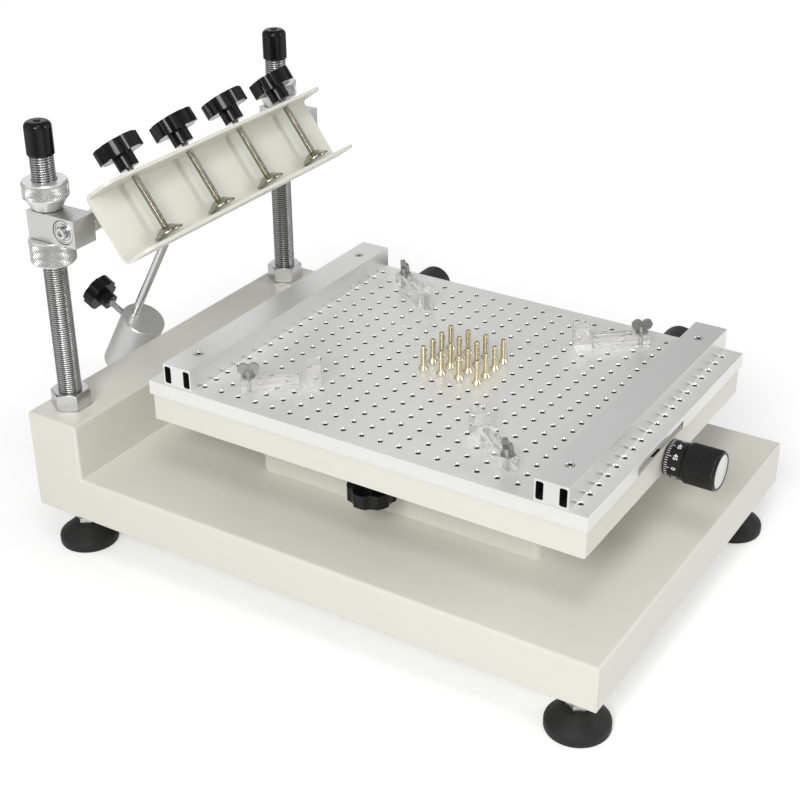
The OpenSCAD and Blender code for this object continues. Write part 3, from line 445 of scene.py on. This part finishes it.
def soften(node, width, segments=2, lobes=None):
    """Rounds the node's edges by width (mm) without making it larger.
    lobes is (axis, width): edges along that axis are rounded first, by that width."""
    shape = bmesh.new()
    shape.from_mesh(cad[node].data)
    bmesh.ops.remove_doubles(shape, verts=shape.verts, dist=weld)
    bmesh.ops.dissolve_limit(shape, angle_limit=math.radians(0.4), verts=shape.verts, edges=shape.edges)
    if lobes:
        axis = Vector(lobes[0])
        upright = [e for e in shape.edges if len(e.link_faces) == 2 and e.calc_face_angle() > lobe_edge
                   and abs((e.verts[1].co - e.verts[0].co).normalized().dot(axis)) > 0.99]
        bmesh.ops.bevel(shape, geom=upright, offset=lobes[1] * MM, segments=5, profile=0.5, affect="EDGES",
                        clamp_overlap=True)
    mesh = bpy.data.meshes.new(node)
    shape.to_mesh(mesh)
    shape.free()
    mesh.shade_smooth()
    mesh.materials.append(finish_for(node))
    work = linked(node + "_work", mesh)
    edges = work.modifiers.new("edges", "BEVEL")
    edges.width = width * MM
    edges.segments = segments
    edges.limit_method = "ANGLE"
    edges.angle_limit = sharp_edge
    edges.use_clamp_overlap = True
    keep_flat(work)
    return add_piece(node + "_rounded", evaluated_mesh(work), node)

moulded = {f"knob_{i}": (0.9, f"clamp_{i}_turn", 3.2) for i in range(1, 5)}
moulded |= {"weight_knob": (0.8, "weight_lock_turn", 2.6), "lock_knob": (0.9, "table_lock_turn", 3.2)}
machined = {"hinge_blocks": 0.9, "channel_ears": 1.2, "counterweight": 0.35, "rod_clamp": 0.5,
            "clamp_bolts": 0.5, "post_nuts": 0.3, "foot_pads": 1.6, "post_caps": 0.8}
machined |= {f"locator_{i}": 0.4 for i in range(1, 5)} | {f"wing_{i}": 0.6 for i in range(1, 5)}
machined |= {f"pad_{i}": 0.4 for i in range(1, 5)}
rounded = {node: soften(node, width, 3, lobes=(joint[name]["axis"], wave))
           for node, (width, name, wave) in moulded.items()}
rounded |= {node: soften(node, width) for node, width in machined.items()}
narrow = 8e-6  # square metres: a locator's rounded edges, not its flat sides
slot_span = 8 * MM  # more than the width of a locator's slot
bpy.context.view_layer.update()
# Sawn sides get the frosted finish; narrow rounded edges get grey painted shade, and those across a slot dark painted
# shade.
for i in range(1, 5):
    piece = rounded[f"locator_{i}"]
    for look in (sawn_acrylic, acrylic_edge_shade, slot_acrylic_shade):
        piece.data.materials.append(look)
    for face in piece.data.polygons:
        face.material_index = int(abs(face.normal.z) < 0.7)
        if face.area < narrow:
            level = Vector((face.normal.x, face.normal.y, 0)).normalized()
            start = face.center + level * 0.1 * MM
            across_slot = face.normal.z > 0.2 and piece.ray_cast(start, level, distance=slot_span)[0]
            face.material_index = 3 if across_slot else 2
print("rounded", len(rounded), "nodes;", sum(len(p.data.polygons) for p in rounded.values()), "faces")

# %% [markdown]
# ## Threads
# The posts carry a coarse metric thread and the clamp screws a fine one. A screw
# modifier could sweep a tooth, but a thread is also just a tube whose radius depends
# on height and angle together, so Geometry Nodes bend a grid into that tube: one
# tree, with pitch, depth and length as inputs, stands a threaded rod on each point.

# %% A tree for threaded rods
def geometry_tree(name, inputs):
    tree = bpy.data.node_groups.new(name, "GeometryNodeTree")
    tree.interface.new_socket("Geometry", in_out="INPUT", socket_type="NodeSocketGeometry")
    sockets = {}
    for label, kind, value in inputs:
        socket = tree.interface.new_socket(label, in_out="INPUT", socket_type="NodeSocket" + kind)
        if value is not None:
            socket.default_value = value
        sockets[label] = socket.identifier
    tree.interface.new_socket("Geometry", in_out="OUTPUT", socket_type="NodeSocketGeometry")
    return tree, tree.nodes.new("NodeGroupInput"), tree.nodes.new("NodeGroupOutput"), sockets

def grid_of(tree, around, rows):
    """A unit grid, with the share round and the share along of each of its points."""
    grid = tree.nodes.new("GeometryNodeMeshGrid")
    grid.inputs["Size X"].default_value = grid.inputs["Size Y"].default_value = 1
    tree.links.new(calc(tree, "ADD", around, 1), grid.inputs["Vertices X"])
    tree.links.new(rows, grid.inputs["Vertices Y"])
    place = tree.nodes.new("GeometryNodeInputPosition")
    split = tree.nodes.new("ShaderNodeSeparateXYZ")
    tree.links.new(place.outputs[0], split.inputs[0])
    return grid.outputs["Mesh"], calc(tree, "ADD", split.outputs[0], 0.5), calc(tree, "ADD", split.outputs[1], 0.5)

def rolled(tree, mesh, share_round, radius, height):
    """Rolls the grid into a closed tube: each point to its angle, radius and height."""
    angle = calc(tree, "MULTIPLY", share_round, 2 * math.pi)
    point = tree.nodes.new("ShaderNodeCombineXYZ")
    tree.links.new(calc(tree, "MULTIPLY", radius, calc(tree, "COSINE", angle)), point.inputs[0])
    tree.links.new(calc(tree, "MULTIPLY", radius, calc(tree, "SINE", angle)), point.inputs[1])
    tree.links.new(height, point.inputs[2])
    moved = tree.nodes.new("GeometryNodeSetPosition")
    tree.links.new(mesh, moved.inputs["Geometry"])
    tree.links.new(point.outputs[0], moved.inputs["Position"])
    seam = tree.nodes.new("GeometryNodeMergeByDistance")
    seam.inputs["Distance"].default_value = 0.002 * MM
    tree.links.new(moved.outputs[0], seam.inputs["Geometry"])
    return seam.outputs[0]

def marked(tree, geometry, value):
    """Keeps how far each point is sunk, so that a finish can paint shade into the grooves."""
    note = tree.nodes.new("GeometryNodeStoreNamedAttribute")
    note.inputs["Name"].default_value = "sunk"
    tree.links.new(geometry, note.inputs["Geometry"])
    tree.links.new(value, note.inputs["Value"])
    return note.outputs[0]

def off_ends(tree, share_along):
    """1 along the grid, 0 in its first and last row."""
    past, before = calc(tree, "GREATER_THAN", share_along, 1e-4), calc(tree, "LESS_THAN", share_along, 1 - 1e-4)
    return calc(tree, "MULTIPLY", past, before)

def stand_on(tree, points, thing):
    """Instance on Points: one copy of the thing on each point."""
    stand = tree.nodes.new("GeometryNodeInstanceOnPoints")
    tree.links.new(points, stand.inputs["Points"])
    tree.links.new(thing, stand.inputs["Instance"])
    return stand

def finish_tree(tree, geometry, given, made):
    """Realize Instances, smooth shading and Set Material close every tree."""
    real = tree.nodes.new("GeometryNodeRealizeInstances")
    smooth = tree.nodes.new("GeometryNodeSetShadeSmooth")
    paint = tree.nodes.new("GeometryNodeSetMaterial")
    tree.links.new(geometry, real.inputs[0])
    tree.links.new(real.outputs[0], smooth.inputs[0])
    tree.links.new(smooth.outputs[0], paint.inputs["Geometry"])
    tree.links.new(given.outputs["Material"], paint.inputs["Material"])
    tree.links.new(paint.outputs[0], made.inputs[0])

rod_tree, given, made, rod_input = geometry_tree("threaded rod", [
    ("Length", "Float", 0.1), ("Radius", "Float", 0.01), ("Pitch", "Float", 0.0025), ("Depth", "Float", 0.0014),
    ("Crest", "Float", 0.14), ("Around", "Int", 28), ("Rows", "Int", 300), ("Material", "Material", None)])
take, do = given.outputs, partial(calc, rod_tree)
root = 0.86  # the share of half a pitch at which the flank has reached the root
mesh, share_round, share_along = grid_of(rod_tree, take["Around"], take["Rows"])
height = do("MULTIPLY", share_along, take["Length"])
phase = do("FRACT", do("SUBTRACT", do("DIVIDE", height, take["Pitch"]), share_round))
tooth = do("ABSOLUTE", do("MULTIPLY_ADD", phase, 2, -1))
flank = do("DIVIDE", do("SUBTRACT", tooth, take["Crest"]), do("SUBTRACT", root, take["Crest"]), clamp=True)
radius = do("SUBTRACT", take["Radius"], do("MULTIPLY", flank, take["Depth"]))
closed = do("MULTIPLY", radius, off_ends(rod_tree, share_along))
tube = rolled(rod_tree, marked(rod_tree, mesh, flank), share_round, closed, height)
finish_tree(rod_tree, stand_on(rod_tree, take["Geometry"], tube).outputs[0], given, made)

def grown(name, tree, sockets, mesh, **values):
    """Runs a tree on a mesh and returns the plain mesh it makes."""
    work = linked(name + "_work", mesh)
    nodes_on = work.modifiers.new("tree", "NODES")
    nodes_on.node_group = tree
    for label, value in values.items():
        nodes_on[sockets[label.replace("_", " ")]] = value
    return evaluated_mesh(work)

def points_mesh(places):
    mesh = bpy.data.meshes.new("points")
    mesh.from_pydata([tuple(p) for p in places], [], [])
    return mesh
print("tree:", rod_tree.name, "inputs", list(rod_input))

# %% [markdown]
# ## Posts and clamp screws
# The posts stand upright, so their points are simply their lower ends. The clamp
# screws lean with the open frame clamp: each is made upright at the origin and then
# moved into its mesh place along the axis of its own joint.

# %% Posts and clamp screws
post_low, post_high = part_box("posts")
post_x = joint["height_nut_2_turn"]["pos_m"][0]
post_y = joint["height_nut_2_turn"]["pos_m"][1]
post_r = post_high.x - post_x
post_l = post_high.z - post_low.z
post_pitch = 2.0 * MM
mesh = grown("posts", rod_tree, rod_input, points_mesh([(x, post_y, post_low.z) for x in (-post_x, post_x)]),
             Length=post_l, Radius=post_r, Pitch=post_pitch, Depth=1.15 * MM, Crest=0.14, Around=26,
             Rows=round(post_l / post_pitch * 8), Material=bright_zinc)
posts = add_piece("posts_threaded", mesh, "posts")

def axis_frame(name):
    """Place and turn of a joint's own axis: +Z of the result runs along it."""
    spot = joint[name]
    return Matrix.Translation(spot["pos_m"]) @ Vector(spot["axis"]).to_track_quat("Z", "Y").to_matrix().to_4x4()

def span(node, name):
    """Lowest and highest point of a node along a joint's axis, from the joint's place."""
    inward = axis_frame(name).inverted()
    heights = [(inward @ v.co).z for v in cad[node].data.vertices]
    return min(heights), max(heights)

def threaded_on(node, name, radius, pitch, depth, material):
    low, high = span(node, name)
    mesh = grown(node, rod_tree, rod_input, points_mesh([(0, 0, low)]), Length=high - low, Radius=radius * MM,
                 Pitch=pitch * MM, Depth=depth * MM, Crest=0.5, Around=24,
                 Rows=round((high - low) / (pitch * MM) * 6), Material=material)
    mesh.transform(axis_frame(name))
    return add_piece(node + "_threaded", mesh, node)

clamp_screws = [threaded_on(f"screw_{i}", f"clamp_{i}_turn", 3, 1.0, 0.35, warm_nickel) for i in range(1, 5)]
weight_screw = threaded_on("weight_screw", "weight_lock_turn", 3, 1.0, 0.5, bright_zinc)
lock_screw = threaded_on("lock_screw", "table_lock_turn", 4, 1.25, 0.6, bright_zinc)
print("threads:", [len(p.data.polygons) for p in [posts, *clamp_screws, weight_screw, lock_screw]])

# %% [markdown]
# ## Knurled height nuts
# Four aluminium nuts set the height of the frame clamp. Each is a turned body with a
# diamond knurl rolled into its rim. The turned body is a lathe profile; the knurl could
# be a bump map, but the diamonds also break the outline, so a second tree rolls a grid
# into a band and sinks two crossing families of grooves into it.

# %% A lathe and a tree for knurled bands
def lathe(profile, around=96, material=None):
    """Turns (radius, height) points in mm about Z; a radius of 0 closes the end."""
    shape = bmesh.new()
    rings = []
    for r, z in profile:
        if r == 0:
            rings.append([shape.verts.new((0, 0, z * MM))])
        else:
            rings.append([shape.verts.new((r * MM * math.cos(2 * math.pi * k / around),
                                           r * MM * math.sin(2 * math.pi * k / around), z * MM)) for k in range(around)])
    for low, high in zip(rings, rings[1:]):
        for k in range(around):
            n = (k + 1) % around
            if len(low) == 1:
                shape.faces.new((low[0], high[n], high[k]))
            elif len(high) == 1:
                shape.faces.new((low[k], low[n], high[0]))
            else:
                shape.faces.new((low[k], low[n], high[n], high[k]))
    bmesh.ops.recalc_face_normals(shape, faces=shape.faces)
    mesh = bpy.data.meshes.new("turned")
    shape.to_mesh(mesh)
    shape.free()
    mesh.shade_smooth()
    mesh.set_sharp_from_angle(angle=math.radians(30))
    mesh.materials.append(material)
    return mesh

knurl_tree, given, made, knurl_input = geometry_tree("knurled band", [
    ("Radius", "Float", 0.02), ("Depth", "Float", 0.0004), ("From", "Float", 0.0), ("To", "Float", 0.01),
    ("Teeth", "Int", 70), ("Lead", "Float", 0.0018), ("Around", "Int", 280), ("Rows", "Int", 30),
    ("Material", "Material", None)])
take, do = given.outputs, partial(calc, knurl_tree)
mesh, share_round, share_along = grid_of(knurl_tree, take["Around"], take["Rows"])
height = do("ADD", take["From"], do("MULTIPLY", share_along, do("SUBTRACT", take["To"], take["From"])))
turns = do("MULTIPLY", share_round, take["Teeth"])
climb = do("DIVIDE", height, take["Lead"])
grooves = [do("ABSOLUTE", do("MULTIPLY_ADD", do("FRACT", do(way, turns, climb)), 2, -1)) for way in ("ADD", "SUBTRACT")]
cut = do("MULTIPLY_ADD", do("MAXIMUM", *grooves), 1.3, -0.3, clamp=True)
sunk = do("MAXIMUM", cut, do("MULTIPLY_ADD", off_ends(knurl_tree, share_along), -1.2, 1.2))
radius = do("SUBTRACT", take["Radius"], do("MULTIPLY", sunk, take["Depth"]))
band = rolled(knurl_tree, marked(knurl_tree, mesh, sunk), share_round, radius, height)
joined = knurl_tree.nodes.new("GeometryNodeJoinGeometry")
knurl_tree.links.new(take["Geometry"], joined.inputs[0])
knurl_tree.links.new(band, joined.inputs[0])
finish_tree(knurl_tree, joined.outputs[0], given, made)
print("tree:", knurl_tree.name)

# %% Knurled nuts
def knurled_nut(node, place, profile, low, high, radius):
    mesh = grown(node, knurl_tree, knurl_input, lathe(profile, 96, nut_aluminium), Radius=radius * MM, Depth=0.7 * MM,
                 From=low * MM, To=high * MM, Teeth=64, Lead=2.1 * MM, Around=384,
                 Rows=round((high - low) / 0.36), Material=nut_aluminium)
    mesh.set_sharp_from_angle(angle=math.radians(24))
    mesh.transform(Matrix.Translation(place))
    return add_piece(node + "_knurled", mesh, node)

def nut_size(node):
    low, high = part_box(node)
    return (high.x - low.x) / 2 / MM, (high.z - low.z) / MM

bore = post_r / MM + 0.05
rim, top = nut_size("upper_nut_left")
core = rim - 0.75
upper_profile = [(bore, 0), (11.9, 0), (12.5, 0.6), (core - 0.3, 10), (rim, 10.4), (rim, 11.2), (core, 11.4),
                 (core, top - 1.8), (rim - 0.4, top - 1.6), (rim - 0.4, top - 1), (rim - 1.2, top),
                 (bore + 0.8, top), (bore, top - 0.8), (bore, 0)]
tall = nut_size("lower_nut_left")[1]
lower_profile = [(bore, 0), (rim - 2.4, 0), (rim - 1.8, 0.4), (core, 1.9), (core, tall - 1.6), (rim - 0.3, tall - 1.4),
                 (rim - 0.3, tall - 0.6), (rim - 0.9, tall), (bore + 0.8, tall), (bore, tall - 0.8), (bore, 0)]
height_nuts = []
for side, x in (("left", -post_x), ("right", post_x)):
    for kind, profile, low, high in (("upper", upper_profile, 11.3, top - 1.7), ("lower", lower_profile, 2.0, tall - 1.5)):
        node = f"{kind}_nut_{side}"
        height_nuts.append(knurled_nut(node, (x, post_y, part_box(node)[0].z), profile, low, high, rim))
print("knurled nuts:", [len(p.data.polygons) for p in height_nuts])

# %% [markdown]
# ## Adjusting dials
# Three dials move the table: a smooth collar with white graduations, a knurled grip and
# a pale disc set into the end. The knurl is the same tree as on the nuts. The
# graduations repeat round a circle, so a third tree stands a thin line on each point
# of a circle and makes every fifth one longer. The numbers are plain text made into
# mesh and stood round the collar.

# %% A tree for graduations
mark_tree, given, made, mark_input = geometry_tree("graduations", [
    ("Count", "Int", 50), ("Radius", "Float", 0.015), ("Base", "Float", 0.0), ("Short", "Float", 0.0025),
    ("Long", "Float", 0.004), ("Width", "Float", 0.00035), ("Every", "Int", 5), ("Material", "Material", None)])
take, do, link = given.outputs, partial(calc, mark_tree), mark_tree.links.new
ring = mark_tree.nodes.new("GeometryNodeMeshCircle")
link(take["Count"], ring.inputs["Vertices"])
link(take["Radius"], ring.inputs["Radius"])
line = mark_tree.nodes.new("GeometryNodeMeshCube")
line.inputs["Size"].default_value = (1, 1, 1)
raised = mark_tree.nodes.new("GeometryNodeTransform")
raised.inputs["Translation"].default_value = (0, 0, 0.5)
link(line.outputs["Mesh"], raised.inputs["Geometry"])
index = mark_tree.nodes.new("GeometryNodeInputIndex").outputs[0]
main = do("LESS_THAN", do("MODULO", index, take["Every"]), 0.5)
length = do("ADD", take["Short"], do("MULTIPLY", main, do("SUBTRACT", take["Long"], take["Short"])))
size = mark_tree.nodes.new("ShaderNodeCombineXYZ")
size.inputs[0].default_value = 0.1 * MM
link(take["Width"], size.inputs[1])
link(length, size.inputs[2])
facing = mark_tree.nodes.new("ShaderNodeCombineXYZ")
link(do("MULTIPLY", index, do("DIVIDE", 2 * math.pi, take["Count"])), facing.inputs[2])
euler = mark_tree.nodes.new("FunctionNodeEulerToRotation")
link(facing.outputs[0], euler.inputs[0])
stand = stand_on(mark_tree, ring.outputs["Mesh"], raised.outputs["Geometry"])
link(euler.outputs[0], stand.inputs["Rotation"])
link(size.outputs[0], stand.inputs["Scale"])
lifted = mark_tree.nodes.new("GeometryNodeTransform")
rise = mark_tree.nodes.new("ShaderNodeCombineXYZ")
link(take["Base"], rise.inputs[2])
link(stand.outputs[0], lifted.inputs["Geometry"])
link(rise.outputs[0], lifted.inputs["Translation"])
finish_tree(mark_tree, lifted.outputs["Geometry"], given, made)
print("tree:", mark_tree.name)

# %% Dials
def number_mesh(word, tall):
    """A plain number as a flat mesh in its XY plane, centred on its own middle."""
    curve = bpy.data.curves.new("number", "FONT")
    curve.body = word
    curve.size = tall
    curve.align_x, curve.align_y = "CENTER", "CENTER"
    curve.extrude = 0.05 * MM
    curve.offset = 0.12 * MM
    curve.resolution_u = 2
    return evaluated_mesh(linked("number_work", curve))

def joined_mesh(parts):
    """Joins plain meshes and keeps each one's material."""
    shape, materials = bmesh.new(), []
    for part in parts:
        start = len(shape.faces)
        shape.from_mesh(part)
        own = list(part.materials) or [None]
        shape.faces.ensure_lookup_table()
        for face in shape.faces[start:]:
            material = own[min(face.material_index, len(own) - 1)]
            if material not in materials:
                materials.append(material)
            face.material_index = materials.index(material)
    mesh = bpy.data.meshes.new("joined")
    shape.to_mesh(mesh)
    shape.free()
    for material in materials:
        mesh.materials.append(material)
    return mesh

collar_r, grip_r = 15.2, 16.5
numbers = 10

def dial(node, name, outward, gap):
    """Builds a dial along +Z from the skirt outwards and moves it to its joint."""
    axis = axis_frame(name) @ (Matrix.Identity(4) if outward > 0 else Matrix.Rotation(math.pi, 4, "X"))
    inward = axis.inverted()
    reach = [(inward @ v.co).z / MM for v in cad[node].data.vertices]
    low, high = min(reach), max(reach)
    step = gap + 15
    body = lathe([(0, low), (4, low), (4, gap), (14.6, gap), (collar_r, gap + 0.6), (collar_r, step - 0.6), (14.6, step),
                  (15.6, step + 0.4), (16.0, step + 1), (16.0, high - 1.2), (15.4, high - 0.3), (14.6, high),
                  (14.0, high), (14.0, high - 1), (0, high - 1)], 96, dial_black)
    straight = 1000.0  # a lead so long that both families of grooves run along the grip
    gripped = grown(node, knurl_tree, knurl_input, body, Radius=grip_r * MM, Depth=0.6 * MM, From=(step + 1.2) * MM,
                    To=(high - 1.4) * MM, Teeth=46, Lead=straight, Around=276, Rows=26, Material=dial_black)
    disc = lathe([(0, high - 0.9), (13.6, high - 0.9), (13.6, high - 0.45), (13.0, high - 0.25), (0, high - 0.25)],
                 64, dial_disc)
    marks = grown(node + "_marks", mark_tree, mark_input, points_mesh([(0, 0, 0)]), Count=50, Radius=collar_r * MM,
                  Base=(gap + 1.2) * MM, Short=2.6 * MM, Long=4.6 * MM, Width=0.5 * MM, Every=5, Material=white_ink)
    parts = [gripped, disc, marks]
    for k in range(numbers):
        digits = number_mesh(str(k * 5), 5.0 * MM)
        digits.materials.append(white_ink)
        around = Matrix.Rotation(2 * math.pi * k / numbers, 4, "Z")
        upright = Matrix.Rotation(math.pi / 2, 4, "Z") @ Matrix.Rotation(math.pi / 2, 4, "X")
        digits.transform(around @ Matrix.Translation((collar_r * MM, 0, (gap + 9.2) * MM)) @ upright)
        parts.append(digits)
    mesh = joined_mesh(parts)
    mesh.transform(axis)
    return add_piece(node + "_dressed", mesh, node)

dials = [dial("dial_front", "front_dial_turn", -1, 0.8), dial("dial_side", "side_dial_turn", 1, 2.3),
         dial("dial_turn", "turn_dial_turn", 1, 2.3)]
print("dials:", [len(p.data.polygons) for p in dials])

# %% [markdown]
# ## Rail screws
# Screws sunk into the rails hold them. Round each head there is a gap, and in its
# middle a hex socket. Both could be drawn as dark lines, but in a low light their walls
# are what shows, so they are in one turned and cut head, and a tree stands its copies.
# The faces down in the gap and inside the socket are also painted near-black: painted shade.

# %% Rail screws
def cut_by(mesh, cutters):
    work = linked("cut_work", mesh)
    tools = [linked(f"cutter_{k}", cutter) for k, cutter in enumerate(cutters)]
    for tool in tools:
        cut = work.modifiers.new("cut", "BOOLEAN")
        cut.operation = "DIFFERENCE"
        cut.solver = "EXACT"
        cut.object = tool
    result = evaluated_mesh(work)
    for tool in tools:
        bpy.data.objects.remove(tool)
    return result

def loose_parts(node):
    """The separate solids of a node, each as a list of its corner points."""
    shape = bmesh.new()
    shape.from_mesh(cad[node].data)
    bmesh.ops.remove_doubles(shape, verts=shape.verts, dist=weld)
    left, parts = set(shape.verts), []
    while left:
        grow, part = [left.pop()], []
        while grow:
            v = grow.pop()
            part.append(v.co.copy())
            for edge in v.link_edges:
                other = edge.other_vert(v)
                if other in left:
                    left.remove(other)
                    grow.append(other)
        parts.append(part)
    shape.free()
    return parts

def middle_of(part):
    low = Vector([min(p[i] for p in part) for i in range(3)])
    high = Vector([max(p[i] for p in part) for i in range(3)])
    return (low + high) / 2, low, high

stand_tree, given, made, stand_input = geometry_tree(
    "stand copies", [("Copy", "Object", None), ("Material", "Material", None)])
copy = stand_tree.nodes.new("GeometryNodeObjectInfo")
stand_tree.links.new(given.outputs["Copy"], copy.inputs["Object"])
stand = stand_on(stand_tree, given.outputs["Geometry"], copy.outputs["Geometry"])
finish_tree(stand_tree, stand.outputs[0], given, made)

screws = [middle_of(part) for part in loose_parts("rail_screws")]
head_r = max(high.x - low.x for _, low, high in screws) / 2 / MM
length = max(high.z - low.z for _, low, high in screws) / MM
print("rail screws:", len(screws), "head radius", round(head_r, 2), "length", round(length, 2))
dome_r, socket_r = 0.74 * head_r, 0.46 * head_r
head = lathe([(0, -length), (1.9, -length), (1.9, -2.6), (head_r, -0.5), (head_r, -0.1), (head_r - 0.2, -0.1),
              (head_r - 0.25, -0.55), (dome_r + 0.1, -1.1), (dome_r, -0.5), (dome_r - 0.5, -0.1), (0, 0)], 36, bright_zinc)
head = cut_by(head, [lathe([(0, -1.5), (socket_r, -1.5), (socket_r, 1), (0, 1)], 6)])
head.set_sharp_from_angle(angle=math.radians(30))
# Painted shade: faces inside the socket and down in the gap round the head get the near-black finish.
dark = []
for face in head.polygons:
    out, down = face.center.xy.length / MM, -face.center.z / MM
    dark.append((out < socket_r * 1.02 and 0.2 < down < 1.6) or (dome_r < out < head_r - 0.15 and down < 1.2))
pattern_screw = linked("pattern_screw", head)
mesh = grown("rail_screws", stand_tree, stand_input, points_mesh([(m.x, m.y, high.z) for m, _, high in screws]),
             Copy=pattern_screw, Material=bright_zinc)
mesh.materials.append(painted_hole_shade)
for face in mesh.polygons:
    face.material_index = int(dark[face.index % len(dark)])
bpy.data.objects.remove(pattern_screw)
rail_screws = add_piece("rail_screws_socketed", mesh, "rail_screws")
print("rail screws, faces:", len(rail_screws.data.polygons))

# %% [markdown]
# ## Support pins
# The sixteen pins are turned brass with a small centre hole. Each could be turned by
# itself, but they are all alike, so one turned shape is stood on each place by the
# same tree as the screws.

# %% Support pins
pins = [middle_of(part) for part in loose_parts("support_pins")]
foot = pins[0][1].z / MM
top = pins[0][2].z / MM
pin = lathe([(0, foot), (1.7, foot), (1.95, foot + 0.3), (1.95, 0), (4.2, 0), (4.2, 0.5), (3.9, 0.9), (2.7, 2.9),
             (2.4, 3.4), (2.4, top - 0.5), (1.95, top), (1.3, top), (1.25, top - 0.2), (1.25, top - 2.6), (0, top - 3)],
            24, pin_brass)
pattern_pin = linked("pattern_pin", pin)
mesh = grown("support_pins", stand_tree, stand_input, points_mesh([(m.x, m.y, 0) for m, _, _ in pins]),
             Copy=pattern_pin, Material=pin_brass)
bpy.data.objects.remove(pattern_pin)
add_piece("support_pins_turned", mesh, "support_pins")
print("pins:", len(pins), "faces", len(mesh.polygons))

# %% [markdown]
# ## End discs of the hinge shaft
# A turned disc with a socket screw closes each end of the shaft. The rings that the
# lathe tool left are what makes it read as a turned part, so they are in the profile.

# %% End discs
socket = lathe([(0, 3.6), (2.9, 3.6), (2.9, 7), (0, 7)], 6)
disc = lathe([(0, 0), (9.6, 0), (9.95, 0.4), (9.95, 1.7), (9.5, 2.15), (8.7, 2.15), (8.4, 1.3), (7.5, 1.3), (7.2, 2.15),
              (6.6, 2.15), (6.3, 1.2), (5.2, 1.2), (5.2, 4.4), (4.9, 5.1), (4.2, 5.55), (0, 5.55)], 64, bright_zinc)
disc = cut_by(disc, [socket])
ends = []
for middle, low, high in (middle_of(part) for part in loose_parts("shaft_bolts")):
    end = disc.copy()
    outward = 1 if middle.x > 0 else -1
    seat = Matrix.Translation((low.x if outward > 0 else high.x, middle.y, middle.z))
    end.transform(seat @ Matrix.Rotation(outward * math.pi / 2, 4, "Y"))
    ends.append(end)
mesh = joined_mesh(ends)
mesh.set_sharp_from_angle(angle=math.radians(30))
add_piece("shaft_bolts_turned", mesh, "shaft_bolts")
print("end discs:", len(ends), "faces", len(mesh.polygons))

# %% [markdown]
# ## Folded sheet and drawn rails
# The base, the clamp channel and the skirt are folded sheet; their cut edges are only
# broken, so they get a smaller radius than the moulded feet. The rails are drawn tubes, and
# the faces within their hollow get a near-black finish of their own: painted shade for
# the shade inside the tube.

# %% Folded sheet and rails
sheet = {"base_body": 0.9, "pedestal": 0.8, "frame_channel": 0.7, "table_skirt": 0.6, "board_rails": 0.4}
for node, width in sheet.items():
    rounded[node] = soften(node, width)
rails = rounded["board_rails"].data
rails.materials.append(rail_inside_shade)
rail_boxes = [middle_of(part)[1:] for part in loose_parts("board_rails")]
within = 1.2 * MM
# Faces within a tube's walls get the near-black finish: painted shade for its hollow.
for face in rails.polygons:
    if abs(face.normal.x) < 0.3 and any(all(low[i] + within < face.center[i] < high[i] - within for i in (1, 2))
                                        for low, high in rail_boxes):
        face.material_index = 1
print("sheet edges:", {n: len(rounded[n].data.polygons) for n in sheet})

# %% [markdown]
# ## Perforated plate
# Every hole in the plate is lightly countersunk, and that thin bright rim is what makes
# the rows of holes show from across a room. A bevel of the whole plate would have to
# rebuild one face with hundreds of holes in it. It is simpler to cut all hole walls at
# one level and then to open out the ring of points above the cut. Only the plate's
# outer border is bevelled, as the sheet is folded there. The hole walls below the rim are
# painted near-black as painted shade. The cut rims are smoother than the plate, and their
# colour is also made lighter as a painted highlight.

# %% Perforated plate
hole_pitch, hole_r, sink, fold = (15 * MM, 17 * MM), 2 * MM, 0.9 * MM, 1.6 * MM
flush = 0.01 * MM
shape = bmesh.new()
shape.from_mesh(cad["table_plate"].data)
bmesh.ops.remove_doubles(shape, verts=shape.verts, dist=weld)
everything = [*shape.verts, *shape.edges, *shape.faces]
bmesh.ops.bisect_plane(shape, geom=everything, plane_co=(0, 0, -sink), plane_no=(0, 0, 1), dist=0.001 * MM)
edge_low, edge_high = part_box("table_plate")

def hole_under(point):
    """From the nearest place in the grid of holes to the point."""
    return Vector(point[i] - round(point[i] / hole_pitch[i]) * hole_pitch[i] for i in (0, 1))

opened = 0
for v in shape.verts:
    off = hole_under(v.co)
    if abs(v.co.z) < flush and off.length < hole_r * 1.1:
        v.co.xy += off.normalized() * sink
        opened += 1
border = [e for e in shape.edges if all(abs(v.co.z) < flush for v in e.verts) and any(
    all(abs(v.co[i] - side[i]) < flush for v in e.verts) for side in (edge_low, edge_high) for i in (0, 1))]
bmesh.ops.bevel(shape, geom=border, offset=fold, segments=4, profile=0.5, affect="EDGES", clamp_overlap=True)
mesh = bpy.data.meshes.new("plate")
shape.to_mesh(mesh)
shape.free()
mesh.shade_smooth()
mesh.set_sharp_from_angle(angle=math.radians(26))
for look in (plate_aluminium, painted_hole_shade, rim_aluminium_highlight):
    mesh.materials.append(look)
# Painted shade on the hole walls below the countersink; the countersink faces get the rim finish with its painted
# highlight.
for face in mesh.polygons:
    off_edge = min(min(face.center[i] - edge_low[i], edge_high[i] - face.center[i]) for i in (0, 1))
    if off_edge > 2 * fold and abs(face.normal.z) < 0.9 and hole_under(face.center).length < hole_r + sink:
        face.material_index = 1 if face.normal.z < 0.3 else 2
work = linked("plate_work", mesh)
keep_flat(work)
add_piece("table_plate_countersunk", evaluated_mesh(work), "table_plate")
print("points opened out:", opened, "border edges", len(border), "faces", len(mesh.polygons))
